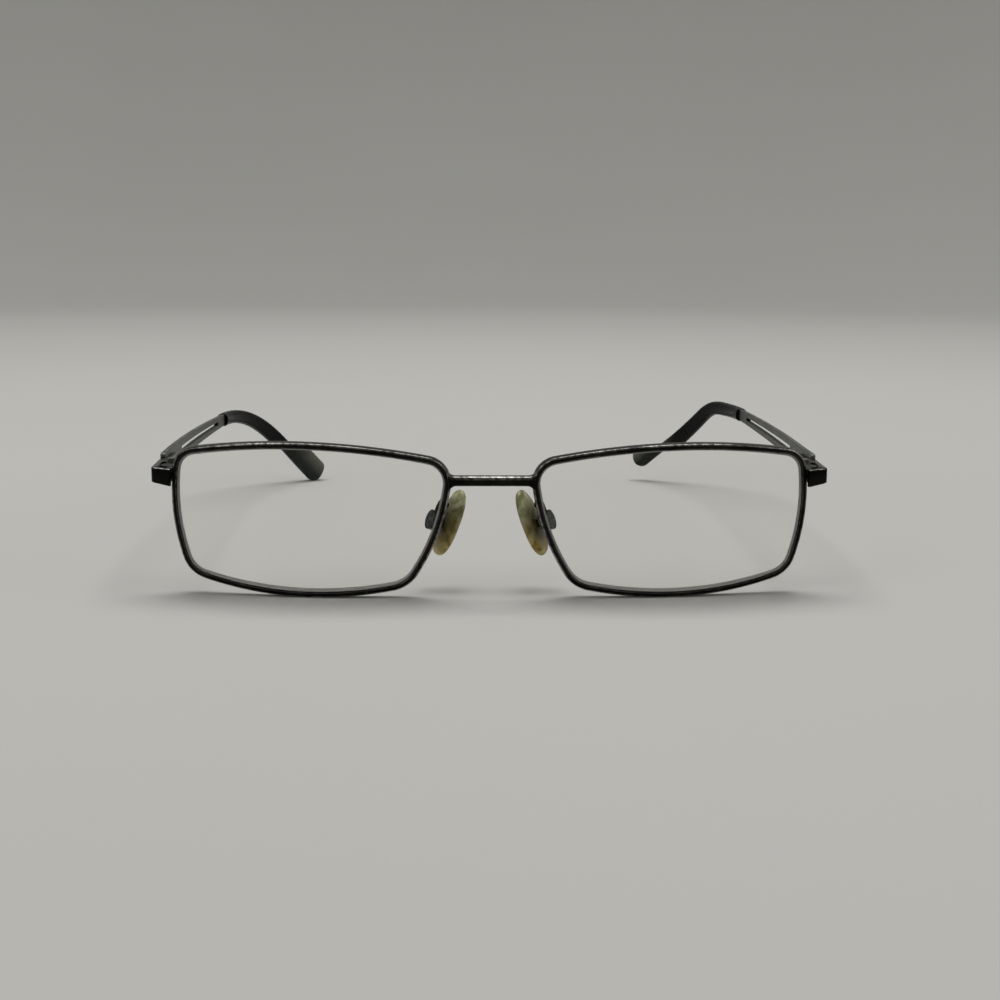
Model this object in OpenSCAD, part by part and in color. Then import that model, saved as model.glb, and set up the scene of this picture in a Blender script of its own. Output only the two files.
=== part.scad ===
// Full-rim rectangular metal eyeglasses with folding temples and rocking nose pads.
// Millimetres. The front faces -Y, the temples run to +Y, and the rims and tips stand on Z = 0.
// Every piece is drawn for the right side, as seen from the front, and mirrored for the left.
// Heights are measured from the cut line, which runs through the cuts in the two eyewires.

/* [Lenses] */
// Width across the two endpieces, from which the lenses take their width
front_w = 137; // [130:0.2:143]
// Height of each lens, measured at the tip of its bevel
lens_h = 30.9; // [28:0.1:34]
// Distance between the two lenses at their nearest
lens_gap = 16.8; // [15:0.1:20]
// Depth of the lens's box centre below the cut line
lens_drop = 7.95; // [6.5:0.05:9]
// Radius of the front surface, which the rims follow too
lens_front_r = 88; // [80:1:110]
// Radius of the back surface
lens_back_r = 110; // [110:1:160]
// Thickness at the centre
lens_t = 2.3; // [2.2:0.1:3]
// Height of the bevel that sits in the rim's groove
bevel_h = 0.5; // [0.4:0.05:0.6]
// Width of the bevel at its foot
bevel_w = 0.9; // [0.7:0.05:1.0]

/* [Lens outline] */
// Radius of the bow along the top
top_bow_r = 111; // [90:1:160]
// How far the top's highest point lies outwards of the box centre
top_peak = 2.1; // [0:0.1:4.5]
// Radius of the bow along the bottom
bottom_bow_r = 95.5; // [85:0.5:160]
// Radius of the bow along the temple side
outer_bow_r = 48; // [45:1:70]
// Height of the temple side's widest point above the box centre
outer_peak = 3.9; // [2:0.1:6]
// Radius of the bow along the nose side
inner_bow_r = 45.3; // [42:0.1:70]
// Height of the nose side's widest point above the box centre
inner_peak = 13; // [13:0.1:17]
// Radius of the upper outer corner
corner_top_outer = 4.6; // [4:0.1:7]
// Radius of the upper inner corner
corner_top_inner = 5.1; // [4:0.1:7]
// Radius of the lower inner corner
corner_low_inner = 6.6; // [4:0.1:7]
// Radius of the lower outer corner
corner_low_outer = 5.2; // [4:0.1:7]

/* [Front] */
// Thickness of the rim wire across its face
rim_t = 1.15; // [1.0:0.05:1.4]
// Depth of the rim wire from front to back
rim_depth = 2.2; // [2.1:0.1:2.8]
// Lean of the front against the temples
front_tilt = 7.2; // [4:0.1:12]
// Turn of each rim round towards its temple
wrap = 5; // [3:0.5:8]
// How far the lens centres stand in front of the endpieces
front_bow = 6.0; // [5.8:0.1:7]
// Width of the opening where each eyewire is cut at its lock
lock_gap = 0.12; // [0.06:0.02:0.2]

/* [Bridge] */
// Height of the bridge bar
bridge_h = 2.0; // [1.6:0.1:2.6]
// Depth of the bridge bar
bridge_depth = 1.7; // [1.4:0.1:2.0]
// Height of the bar's middle above the cut line
bridge_rise = 0.35; // [-1:0.05:1]
// Radius of the fillets where the bar meets the rims
bridge_fillet = 0.6; // [0.3:0.1:1.0]

/* [Endpieces and hinges] */
// How far each endpiece's corner stands out past the rim's side
endpiece_reach = 3.7; // [3:0.1:5.7]
// Height of the endpiece's side leg
endpiece_h = 3.1; // [2.9:0.1:3.4]
// Height of the side leg's and the hinge's middle above the cut line
endpiece_rise = 0.5; // [0.3:0.05:0.7]
// How far the front leg's lower edge drops from the corner to the rim
endpiece_foot = 0.7; // [0.4:0.05:0.9]
// Width of the bevel along the front leg's upper edge
endpiece_bevel = 0.3; // [0.2:0.05:0.4]
// Thickness of the endpiece's front leg
endpiece_t = 1.3; // [1.1:0.1:1.6]
// Thickness of the endpiece's side leg
leg_t = 1.2; // [1.0:0.1:1.5]
// Length of the endpiece's side leg, from the front to the temple
leg_len = 14.5; // [13:0.5:16]
// Outward turn of the side leg and of the temple's start
flare = 3.1; // [1.5:0.1:4]
// Outside diameter of the hinge knuckles
knuckle_d = 2.5; // [2.3:0.1:2.8]
// Diameter of the hinge screw's shank
hinge_screw_d = 1.4; // [1.2:0.1:1.5]
// Height of the whole hinge
hinge_h = 3; // [2.8:0.1:3.2]
// Height of the temple's middle knuckle
knuckle_mid = 1.2; // [1.0:0.1:1.3]
// Radial clearance of the temple's knuckle on its screw
pin_fit = 0.03; // [0.02:0.01:0.06]
// Gap between parts of the hinge that slide past each other
slide_gap = 0.08; // [0.05:0.01:0.12]
// Length of the hinge leaf on the temple
temple_leaf_len = 10; // [8:0.5:14]
// Height of each half of the rim lock
lock_h = 1.4; // [1.2:0.1:1.6]
// Diameter of the rim lock screw
lock_screw_d = 1.1; // [0.9:0.1:1.2]

/* [Temples] */
// Length of the metal arm, from the hinge to the mouth of the tip
arm_len = 85.5; // [80:0.5:96]
// Thickness of the arm
arm_t = 1.1; // [0.9:0.1:1.3]
// Height of the arm at the hinge
arm_h_front = 4.6; // [4.6:0.1:5.2]
// Height of the arm at the tip
arm_h_back = 2.9; // [2.4:0.1:3.2]
// Height of the arm's middle line above the hinge's middle
arm_lift = 0.1; // [0:0.1:0.5]
// How much the right arm's rear end is bent up
arm_rise_right = 1.4; // [-1:0.05:1.6]
// How much the left arm's rear end is bent up
arm_rise_left = -0.35; // [-1:0.05:1.6]
// Radius of the arm's outward bow
arm_bow_r = 930; // [700:10:1500]
// Distance from the hinge to the slot's wide end
slot_start = 24.5; // [20:0.5:34]
// Distance from the slot's narrow end to the mouth of the tip
slot_margin = 9; // [6:1:14]
// Height of the slot at its wide end
slot_h_front = 1.3; // [0.9:0.1:1.8]
// Height of the slot at its narrow end
slot_h_back = 0.8; // [0.5:0.1:1.0]

/* [Temple tips] */
// Length of the tip along its middle
tip_len = 50; // [44:0.5:53]
// Height of the tip at its mouth
tip_h_mouth = 3.4; // [3.3:0.1:4]
// Height of the tip near its end
tip_h_end = 4.4; // [3.8:0.1:5.2]
// Thickness of the tip
tip_t = 2.9; // [2.4:0.1:3.4]
// Angle by which the tips turn inwards by their ends
tip_turn = 75; // [60:1:78]
// Angle by which the right tip turns down
tip_drop_right = 41; // [34:0.5:50]
// Angle by which the left tip turns down
tip_drop_left = 48; // [34:0.5:52]
// Length of straight right tip before its bend
tip_straight_right = 13.5; // [4:0.5:15]
// Length of straight left tip before its bend
tip_straight_left = 4; // [2:0.5:15]
// Length over which the right tip turns down
tip_bend_right = 11; // [10:0.5:34]
// Length over which the left tip turns down
tip_bend_left = 34; // [10:0.5:36]
// Width of the core wire in the tip
core_w = 1.5; // [1.2:0.1:1.8]
// Thickness of the core wire in the tip
core_t = 0.9; // [0.7:0.1:1.1]
// Part of the tip's length that the core wire fills
core_share = 0.72; // [0.5:0.02:0.8]
// Clearance between the core wire and the tip
core_fit = 0.05; // [0.03:0.01:0.1]

/* [Nose pads] */
// Length of each pad
pad_len = 14.4; // [11:0.1:15]
// Width of each pad
pad_w = 7.4; // [6.5:0.1:8.5]
// Thickness of each pad
pad_t = 2.7; // [2.4:0.1:3.2]
// Distance from the middle plane to each pad's centre
pad_reach = 8.55; // [7.6:0.05:9]
// Distance from the endpieces' front back to each pad's centre
pad_back = 5.2; // [4.5:0.1:6.5]
// Depth of each pad's centre below the cut line
pad_drop = 11.1; // [10:0.05:12]
// Lean of the pad's long axis towards the nose at the top
pad_lean = 23.5; // [10:0.5:26]
// Turn of the pad's rear edge away from the nose
pad_splay = 22; // [14:1:32]
// Diameter of the round pad box
box_d = 4.1; // [3.9:0.1:4.6]
// Thickness of the pad box
box_t = 2.5; // [2.4:0.1:2.9]
// How far the pad box sits below the middle of its pad
box_drop = 0.55; // [0:0.05:1]
// Gap between the pad and its box
box_gap = 1; // [0.8:0.1:1.2]
// Diameter of the pad screw
pad_screw_d = 0.9; // [0.8:0.05:1]
// Diameter of the pad arm wire
pad_arm_d = 1.1; // [0.9:0.1:1.2]

/* [Hidden] */

// Colours
gunmetal = [0.17, 0.17, 0.17];
dark_metal = [0.25, 0.25, 0.24];
steel = [0.62, 0.62, 0.6];
clear_lens = [0.86, 0.9, 0.92, 0.35];
tip_grey = [0.13, 0.14, 0.14];
silicone = [0.62, 0.6, 0.36, 0.8];

// Where the rim's two sides lie from the tip of the lens's bevel, which fits its groove with a little play
lens_fit = 0.05;
rim_in = lens_fit - bevel_h;
rim_out = rim_in + rim_t;
// Width of each lens, measured at the tip of its bevel
lens_w = (front_w - lens_gap) / 2 - endpiece_reach - rim_out;

// Plain helpers
function unit(v) = v / norm(v);
function above(a, from) = a < from ? above(a + 360, from) : a;
function smooth(t) = let (k = min(1, max(0, t))) k * k * (3 - 2 * k);
function near(p, q, target) = norm(p - target) < norm(q - target) ? p : q;

// Where two circles meet, on the side of a target point
function circles_meet(c1, r1, c2, r2, target) =
    let (
        d = norm(c2 - c1),
        e = (c2 - c1) / d,
        along = (r1 * r1 - r2 * r2 + d * d) / (2 * d),
        off = sqrt(max(0, r1 * r1 - along * along)) * [-e[1], e[0]]
    )
    near(c1 + along * e + off, c1 + along * e - off, target);

// Points of a fillet of radius r at corner b, between corners a and c
function fillet(a, b, c, r, steps) =
    let (
        u = unit(a - b),
        v = unit(c - b),
        half = acos(u * v) / 2,
        centre = b + unit(u + v) * r / sin(half),
        from = b + u * r / tan(half) - centre,
        to = b + v * r / tan(half) - centre,
        start = atan2(from[1], from[0]),
        turn = atan2(from[0] * to[1] - from[1] * to[0], from * to)
    )
    [for (i = [0:steps]) centre + r * [cos(start + turn * i / steps), sin(start + turn * i / steps)]];

// A polygon's corners [point, radius], each rounded by its radius
function rounded(corners, steps = 6) =
    let (n = len(corners))
    [for (i = [0:n - 1])
        each corners[i][1] > 0
            ? fillet(
                corners[(i + n - 1) % n][0], corners[i][0], corners[(i + 1) % n][0], corners[i][1], steps)
            : [corners[i][0]]];

// Solid through a list of rings of points, each right-handed about the way forward. Its two ends are
// closed by one face each, or by several convex faces when the ring is hollow
module loft(rings, faces = []) {
    n = len(rings[0]);
    last = len(rings) - 1;
    ends = len(faces) > 0 ? faces : [[for (j = [0:n - 1]) j]];
    sides = [for (i = [0:last - 1], j = [0:n - 1])
        each [
            [i * n + j, (i + 1) * n + (j + 1) % n, i * n + (j + 1) % n],
            [i * n + j, (i + 1) * n + j, (i + 1) * n + (j + 1) % n]
        ]];
    caps = [for (face = ends) each [face, [for (j = [len(face) - 1:-1:0]) last * n + face[j]]]];
    polyhedron([for (ring = rings) each ring], concat(sides, caps), convexity = 8);
}

// Solid through outer rings with a blind channel through inner rings, open at the first ring
module sleeve(outer, inner) {
    n = len(outer[0]);
    out_last = len(outer) - 1;
    in_last = len(inner) - 1;
    base = len(outer) * n;
    outside = [for (i = [0:out_last - 1], j = [0:n - 1])
        each [
            [i * n + j, (i + 1) * n + (j + 1) % n, i * n + (j + 1) % n],
            [i * n + j, (i + 1) * n + j, (i + 1) * n + (j + 1) % n]
        ]];
    inside = [for (i = [0:in_last - 1], j = [0:n - 1])
        each [
            [base + i * n + j, base + i * n + (j + 1) % n, base + (i + 1) * n + (j + 1) % n],
            [base + i * n + j, base + (i + 1) * n + (j + 1) % n, base + (i + 1) * n + j]
        ]];
    mouth = [for (j = [0:n - 1])
        each [
            [j, (j + 1) % n, base + (j + 1) % n],
            [j, base + (j + 1) % n, base + j]
        ]];
    ends = [
        [for (j = [n - 1:-1:0]) out_last * n + j],
        [for (j = [0:n - 1]) base + in_last * n + j]
    ];
    polyhedron(concat([for (ring = outer) each ring], [for (ring = inner) each ring]),
        concat(outside, inside, mouth, ends), convexity = 8);
}

// Lens outline: four bowed sides, each touching the lens's box, and four corner arcs tangent to them.
// Sides run counter-clockwise from the temple side, and each is [centre, radius].
sides = [
    [[lens_w / 2 - outer_bow_r, outer_peak], outer_bow_r],
    [[top_peak, lens_h / 2 - top_bow_r], top_bow_r],
    [[inner_bow_r - lens_w / 2, inner_peak], inner_bow_r],
    [[0, bottom_bow_r - lens_h / 2], bottom_bow_r]
];
corner_radii = [corner_top_outer, corner_top_inner, corner_low_inner, corner_low_outer];
corner_targets = [for (s = [[1, 1], [-1, 1], [-1, -1], [1, -1]]) [s[0] * lens_w / 2, s[1] * lens_h / 2]];
corner_centres = [for (i = [0:3])
    let (a = sides[i], b = sides[(i + 1) % 4], r = corner_radii[i])
    circles_meet(a[0], a[1] - r, b[0], b[1] - r, corner_targets[i])];
function direction(from, to) = atan2(to[1] - from[1], to[0] - from[0]);

// The eyewire starts and ends at the lock, level with the hinge
lock_angle = asin((lens_drop - outer_peak) / outer_bow_r);
side_step = 3.4;
corner_step = 13;
// Arcs in order, each [centre, radius, start angle, end angle]
join_out = [for (i = [0:3]) above(direction(sides[i][0], corner_centres[i]), -60 + 90 * i)];
join_in = [for (i = [0:3]) above(direction(sides[(i + 1) % 4][0], corner_centres[i]), -60 + 90 * i)];
arcs = [
    [sides[0][0], sides[0][1], lock_angle, join_out[0]],
    [corner_centres[0], corner_radii[0], join_out[0], join_in[0]],
    [sides[1][0], sides[1][1], join_in[0], join_out[1]],
    [corner_centres[1], corner_radii[1], join_out[1], join_in[1]],
    [sides[2][0], sides[2][1], join_in[1], join_out[2]],
    [corner_centres[2], corner_radii[2], join_out[2], join_in[2]],
    [sides[3][0], sides[3][1], join_in[2], join_out[3]],
    [corner_centres[3], corner_radii[3], join_out[3], join_in[3]],
    [sides[0][0], sides[0][1], join_in[3], lock_angle + 360]
];
function arc_steps(arc) =
    let (turn = arc[3] - arc[2])
    max(1, ceil(arc[1] > 20 ? arc[1] * turn * PI / 180 / side_step : turn / corner_step));
// Stations along the outline, each [centre, radius, angle]
stations = concat(
    [for (arc = arcs, n = [arc_steps(arc)], i = [0:n - 1])
        [arc[0], arc[1], arc[2] + (arc[3] - arc[2]) * i / n]],
    [[sides[0][0], sides[0][1], lock_angle + 360]]
);
last_station = len(stations) - 1;

// A point of the outline moved outwards by d, in the lens's own plane
function outline(s, d) = s[0] + (s[1] + d) * [cos(s[2]), sin(s[2])];
// Depth of the front sphere behind its foremost point
function sag(p, r = lens_front_r) = r - sqrt(r * r - p * p);
// A point moved outwards by d and back by w, in the lens's frame
function rim_point(s, d, w) = let (p = outline(s, d)) [p[0], sag(outline(s, 0)) + w, p[1]];

// Rim section: [distance outwards of the bevel's tip, depth]
bevel_depth = 0.95;
edge_chamfer = 0.12;
front_chamfer = 0.25;
back_chamfer = 0.35;
groove_half = bevel_w / 2 + lens_fit;
rim_section = [
    [rim_in + edge_chamfer, 0],
    [rim_out - front_chamfer, 0],
    [rim_out, front_chamfer],
    [rim_out, rim_depth - back_chamfer],
    [rim_out - back_chamfer, rim_depth],
    [rim_in + edge_chamfer, rim_depth],
    [rim_in, rim_depth - edge_chamfer],
    [rim_in, bevel_depth + groove_half],
    [lens_fit, bevel_depth],
    [rim_in, bevel_depth - groove_half],
    [rim_in, edge_chamfer]
];
rim_faces = [[8, 9, 10, 0, 1, 2], [2, 3, 8], [8, 3, 4, 5, 6, 7]];
// The wire stops half the lock's gap short of the cut at each end
cut_turn = lock_gap / 2 / outer_bow_r * 180 / PI;
rim_stations = [for (i = [0:last_station])
    let (s = stations[i], shift = i == 0 ? cut_turn : i == last_station ? -cut_turn : 0)
    [s[0], s[1], s[2] + shift]];
function rim_ring(s, section) = [for (q = section) rim_point(s, q[0], q[1])];

// Places
wrap_shift = (sag([lens_w / 2, 0]) + bevel_depth) * sin(wrap);
lens_x = lens_gap / 2 + lens_w / 2 + wrap_shift;
module in_front() rotate([front_tilt, 0, 0]) children();
module at_lens() translate([lens_x, -front_bow, -lens_drop]) rotate([0, 0, wrap]) children();

leg_inset = leg_t + slide_gap + knuckle_d / 2;
leg_dir = [sin(flare), cos(flare)];
leg_out = [cos(flare), -sin(flare)];
leg_end = [front_w / 2, 0] + leg_len * leg_dir;
hinge_pin = leg_end - leg_inset * leg_out;
module at_hinge() translate([hinge_pin[0], hinge_pin[1], endpiece_rise]) rotate([0, 0, -flare]) children();

module at_pad()
    translate([pad_reach, pad_back, -pad_drop])
        rotate([0, 0, -pad_splay])
            rotate([0, -pad_lean, 0]) children();

// The same places as functions, for points that set the resting height and the middle
function turn_x(p, a) = [p[0], p[1] * cos(a) - p[2] * sin(a), p[1] * sin(a) + p[2] * cos(a)];
function turn_z(p, a) = [p[0] * cos(a) - p[1] * sin(a), p[0] * sin(a) + p[1] * cos(a), p[2]];
function from_lens(p) = turn_x(turn_z(p, wrap) + [lens_x, -front_bow, -lens_drop], front_tilt);
function from_hinge(p) = turn_z(p, -flare) + [hinge_pin[0], hinge_pin[1], endpiece_rise];

// Arms and tips are bent by hand, each side its own way: side 0 is the right one, side 1 the left one
arm_rise = [arm_rise_right, arm_rise_left];
tip_drop = [tip_drop_right, tip_drop_left];
tip_straight = [tip_straight_right, tip_straight_left];
tip_bend = [tip_bend_right, tip_bend_left];
arm_straight = temple_leaf_len + 2;
arm_tilt = [for (r = arm_rise) atan(r / (arm_len - arm_straight))];
function arm_mid(y, side) = arm_lift + arm_rise[side] * max(0, y - arm_straight) / (arm_len - arm_straight);

// Middle line of the tip, in the hinge's frame, with its turns: [inwards, down]
arm_out = leg_inset;
arm_mid_r = arm_bow_r - arm_t / 2;
mouth_turn = asin(arm_len / arm_mid_r);
function mouth(side) = [arm_out - arm_bow_r + arm_mid_r * cos(mouth_turn), arm_len, arm_mid(arm_len, side)];
tip_steps = 24;
tip_stride = tip_len / tip_steps;
function tip_turns(s, side) = [
    mouth_turn + (tip_turn - mouth_turn) * s / tip_len,
    (tip_drop[side] + arm_tilt[side]) * smooth((s - tip_straight[side]) / tip_bend[side]) - arm_tilt[side]
];
function heading(t) = [-sin(t[0]) * cos(t[1]), cos(t[0]) * cos(t[1]), -sin(t[1])];
function tip_walk(i, p, side) =
    i >= tip_steps
        ? [p]
        : concat([p], tip_walk(
            i + 1, p + tip_stride * heading(tip_turns((i + 0.5) * tip_stride, side)), side));
tip_lines = [for (side = [0, 1]) tip_walk(0, mouth(side), side)];
function tip_place(s, side) =
    let (i = max(0, min(tip_steps - 1, floor(s / tip_stride))), f = s / tip_stride - i)
    tip_lines[side][i] * (1 - f) + tip_lines[side][i + 1] * f;

// Ring round the tip's middle line: half width a, half height b, squareness e
function tip_ring(s, a, b, e, side) =
    let (
        t = tip_turns(s, side),
        across = [cos(t[0]), sin(t[0]), 0],
        up = cross(across, heading(t)),
        p = tip_place(s, side)
    )
    [for (k = [0:tip_sides - 1])
        let (c = cos(360 * (k + 0.5) / tip_sides), d = -sin(360 * (k + 0.5) / tip_sides))
        p + across * a * sign(c) * pow(abs(c), 2 / e) + up * b * sign(d) * pow(abs(d), 2 / e)];
tip_sides = 16;
tip_round = tip_h_end / 2;
function tip_half_h(s) = (tip_h_mouth + (tip_h_end - tip_h_mouth) * smooth(s / (tip_len - tip_round))) / 2;
// The end closes over a quarter round, and the mouth has a small rounded lip
end_shares = [0, 0.3, 0.55, 0.78, 0.93, 0.99];
end_t_share = 0.25;
tip_square = 2.6;
lip = 0.15;
lip_len = 0.2;
body_steps = 17;
function tip_rings(side) = concat(
    [tip_ring(0, tip_t / 2 - lip, tip_h_mouth / 2 - lip, tip_square, side)],
    [for (i = [0:body_steps])
        let (s = lip_len + (tip_len - tip_round - lip_len) * i / (body_steps + 1))
        tip_ring(s, tip_t / 2, tip_half_h(s), tip_square, side)],
    [for (f = end_shares)
        let (s = tip_len - tip_round + tip_round * f, k = sqrt(1 - f * f))
        tip_ring(s, tip_t / 2 * (end_t_share + (1 - end_t_share) * k), tip_h_end / 2 * k, tip_square, side)]
);
core_square = 4;
core_len = tip_len * core_share;
core_steps = 10;
function core_rings(from, grow, side) = [for (i = [0:core_steps])
    tip_ring(
        from + (core_len - from) * i / core_steps,
        core_t / 2 + grow, core_w / 2 + grow, core_square, side)];

// The glasses stand on the rims' and the tips' lowest points
low_points_front = [for (s = stations, q = [[rim_out - front_chamfer, 0], [rim_out, front_chamfer]])
    from_lens(rim_point(s, q[0], q[1]))];
low_points_back = [for (side = [0, 1], ring = tip_rings(side), p = ring) from_hinge(p)];
function lowest(points, a) = let (z = min([for (p = points) turn_x(p, -a)[2]]))
    [for (p = points) if (turn_x(p, -a)[2] == z) p][0];
function rake_from(a) =
    let (f = lowest(low_points_front, a), b = lowest(low_points_back, a))
    atan2(b[2] - f[2], b[1] - f[1]);
rake = rake_from(rake_from(0));
low_z = turn_x(lowest(low_points_front, rake), -rake)[2];
back_y = max([for (p = low_points_back) turn_x(p, -rake)[1]]);
// The foremost point is on the rims' front edge, or where a lens faces straight ahead
face_depth = 0.3;
sphere_centre = turn_x(from_lens([0, face_depth + lens_front_r, 0]), -rake);
rim_front_y = min([for (s = stations, d = [rim_in, rim_out - front_chamfer])
    turn_x(from_lens(rim_point(s, d, 0)), -rake)[1]]);
front_y = min(rim_front_y, sphere_centre[1] - lens_front_r);
mid_y = (front_y + back_y) / 2;

module right_side() translate([0, -mid_y, -low_z]) rotate([-rake, 0, 0]) children();
module left_side() translate([0, -mid_y, -low_z]) rotate([-rake, 0, 0]) mirror([1, 0, 0]) children();

// The space inside a stretch of rim, up to a given depth, for cutting what sits against the wire
space_in = -3;
space_front = -3;
space_back = 5;
function stretch(a0, a1) = [for (s = stations) if (s[2] > a0 && s[2] < a1) s];
lock_stretch = concat(
    [for (s = stretch(340, 380)) if (s[2] < stations[last_station][2]) s], stretch(-20, 20));
module space_loft(list, back)
    at_lens() loft([for (s = list)
        rim_ring(s, [[space_in, space_front], [rim_out, space_front], [rim_out, back], [space_in, back]])]);
module rim_space(a0, a1, back = space_back) space_loft(stretch(a0, a1), back);
// The same beside the lock, in one piece across the cut
module lock_side_space(back = space_back) space_loft(lock_stretch, back);

// Eyewire: a grooved wire that runs round the lens from one face of the lock to the other
module rim() color(gunmetal) in_front() at_lens()
    loft([for (s = rim_stations) rim_ring(s, rim_section)], rim_faces);

// Lens: a slab with a V-shaped edge, between a front sphere and a back sphere
slab_half = 20;
lens_edge = [
    [-bevel_h, bevel_depth - bevel_w / 2],
    [0, bevel_depth],
    [-bevel_h, bevel_depth + bevel_w / 2]
];
function lens_ring(d, w) = [for (i = [last_station - 1:-1:0]) rim_point(stations[i], d, w)];
function flat_ring(y) = [for (p = lens_ring(-bevel_h, 0)) [p[0], y, p[2]]];
module lens() color(clear_lens) in_front() at_lens()
    difference() {
        intersection() {
            loft(concat(
                [flat_ring(-slab_half)],
                [for (e = lens_edge) lens_ring(e[0], e[1])],
                [flat_ring(slab_half)]));
            translate([0, face_depth + lens_front_r, 0]) sphere(r = lens_front_r, $fn = 200);
        }
        translate([0, face_depth + lens_t + lens_back_r, 0]) sphere(r = lens_back_r, $fn = 200);
    }

// Bridge bar: its front view is drawn out to the rims, and the rims' own shape trims its ends
bridge_top = bridge_rise + bridge_h / 2;
bridge_low = bridge_rise - bridge_h / 2;
bridge_front = -4.35;
nose_x = lens_gap / 2 + lens_fit;
bridge_top_x = nose_x - rim_t + 0.2;
bridge_low_x = nose_x - rim_t + 0.4;
bridge_end_x = nose_x + 2.5;
bridge_flare = [0.6, 1.2];
bridge_outline = rounded([
    [[-bridge_end_x, bridge_top + bridge_flare[1]], 0],
    [[-bridge_end_x, bridge_low - bridge_flare[1]], 0],
    [[-bridge_low_x - bridge_flare[0], bridge_low - bridge_flare[1]], 0],
    [[-bridge_low_x, bridge_low], bridge_fillet],
    [[bridge_low_x, bridge_low], bridge_fillet],
    [[bridge_low_x + bridge_flare[0], bridge_low - bridge_flare[1]], 0],
    [[bridge_end_x, bridge_low - bridge_flare[1]], 0],
    [[bridge_end_x, bridge_top + bridge_flare[1]], 0],
    [[bridge_top_x + bridge_flare[0], bridge_top + bridge_flare[1]], 0],
    [[bridge_top_x, bridge_top], bridge_fillet],
    [[-bridge_top_x, bridge_top], bridge_fillet],
    [[-bridge_top_x - bridge_flare[0], bridge_top + bridge_flare[1]], 0]
]);
module bridge() color(gunmetal) right_side() in_front()
    difference() {
        translate([0, bridge_front + bridge_depth, 0])
            rotate([90, 0, 0]) linear_extrude(bridge_depth) polygon(bridge_outline);
        for (m = [0, 1]) mirror([m, 0, 0]) rim_space(100, 250);
    }

// Endpiece: an L-shaped strip, soldered to the rim's outer side, that turns back to the hinge
solder_depth = 0.6;
rim_side_x = lens_x - wrap_shift + lens_w / 2 + rim_out - solder_depth;
endpiece_round = 0.9;
endpiece_inner_round = 0.4;
leg_top = endpiece_rise + endpiece_h / 2;
leg_low = endpiece_rise - endpiece_h / 2;
leg_in = leg_end - leg_t * leg_out;
leg_corner = leg_in - leg_dir * ((leg_in[1] - endpiece_t) / leg_dir[1]);
endpiece_plan = rounded([
    [[rim_side_x, 0], 0], [[front_w / 2, 0], endpiece_round], [leg_end, 0],
    [leg_in, 0], [leg_corner, endpiece_inner_round], [[rim_side_x, endpiece_t], 0]
]);
// Front view of the front leg, whose edges drop over the last stretch before the corner
ramp = 1.6;
ramp_round = 0.6;
leg_overlap = 0.2;
foot_top = leg_top - endpiece_foot + endpiece_bevel;
foot_low = leg_low - endpiece_foot;
foot_spread = 0.2;
corner_x = front_w / 2;
leg_side_x = max(leg_end[0], corner_x) + 0.1;
front_leg_face = rounded([
    [[rim_side_x, foot_top], 0], [[rim_side_x, foot_low - foot_spread], 0],
    [[corner_x - ramp, foot_low], ramp_round], [[corner_x, leg_low], ramp_round],
    [[leg_side_x, leg_low], 0], [[leg_side_x, leg_top], 0],
    [[corner_x, leg_top], ramp_round], [[corner_x - ramp, foot_top], ramp_round]
]);
module endpiece() color(gunmetal)
    difference() {
        intersection() {
            translate([0, 0, -5]) linear_extrude(10) polygon(endpiece_plan);
            union() {
                translate([0, endpiece_t + endpiece_inner_round, 0]) rotate([90, 0, 0])
                    linear_extrude(endpiece_t + endpiece_inner_round + 1) polygon(front_leg_face);
                translate([leg_corner[0], endpiece_t - leg_overlap, leg_low])
                    cube([leg_side_x - leg_corner[0], leg_len, endpiece_h]);
            }
        }
        translate([rim_side_x - 1, 0, foot_top - endpiece_bevel]) rotate([45, 0, 0])
            cube([corner_x - ramp - rim_side_x + 1, 2 * endpiece_bevel, 2 * endpiece_bevel]);
        in_front() lock_side_space();
    }

// Rim lock: two closing blocks beside the rim, each with a barrel, clamped by a screw from below
lock_foot_x = rim_side_x + 0.15;
lock_foot = [1.2, 3.6];
lock_foot_y = endpiece_t + 0.45;
lock_x = rim_side_x + 1.8;
lock_y = endpiece_t + 3.1;
lock_barrel_d = 2.3;
lock_screw_head_d = lock_screw_d + 0.7;
lock_screw_head_h = 0.45;
lock_screw_short = 0.3;
slot_cut = 0.24;
slot_deep = 0.2;
screw_free_fit = 0.04;
module lock_block(low)
    difference() {
        translate([0, 0, low]) union() {
            translate([lock_foot_x, lock_foot_y, 0])
                cube([lock_foot[0], lock_foot[1], lock_h - lock_gap / 2]);
            translate([lock_x, lock_y, 0]) cylinder(d = lock_barrel_d, h = lock_h - lock_gap / 2, $fn = 40);
        }
        lock_side_space(rim_depth);
    }
module rim_lock_upper() color(dark_metal) in_front()
    difference() {
        lock_block(lock_gap / 2);
        translate([lock_x, lock_y, -1])
            cylinder(d = lock_screw_d, h = 1 + lock_h - lock_screw_short, $fn = 24);
    }
module rim_lock_lower() color(dark_metal) in_front()
    difference() {
        lock_block(-lock_h);
        translate([lock_x, lock_y, -lock_h - 1])
            cylinder(d = lock_screw_d + 2 * screw_free_fit, h = lock_h + 2, $fn = 24);
    }
module rim_screw() color(steel) in_front() translate([lock_x, lock_y, 0])
    difference() {
        union() {
            translate([0, 0, -lock_h])
                cylinder(d = lock_screw_d, h = 2 * lock_h - lock_screw_short, $fn = 24);
            translate([0, 0, -lock_h - lock_screw_head_h])
                cylinder(d = lock_screw_head_d, h = lock_screw_head_h, $fn = 32);
        }
        translate([-lock_screw_head_d, -slot_cut / 2, -lock_h - lock_screw_head_h - 1])
            cube([2 * lock_screw_head_d, slot_cut, 1 + slot_deep]);
    }

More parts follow.
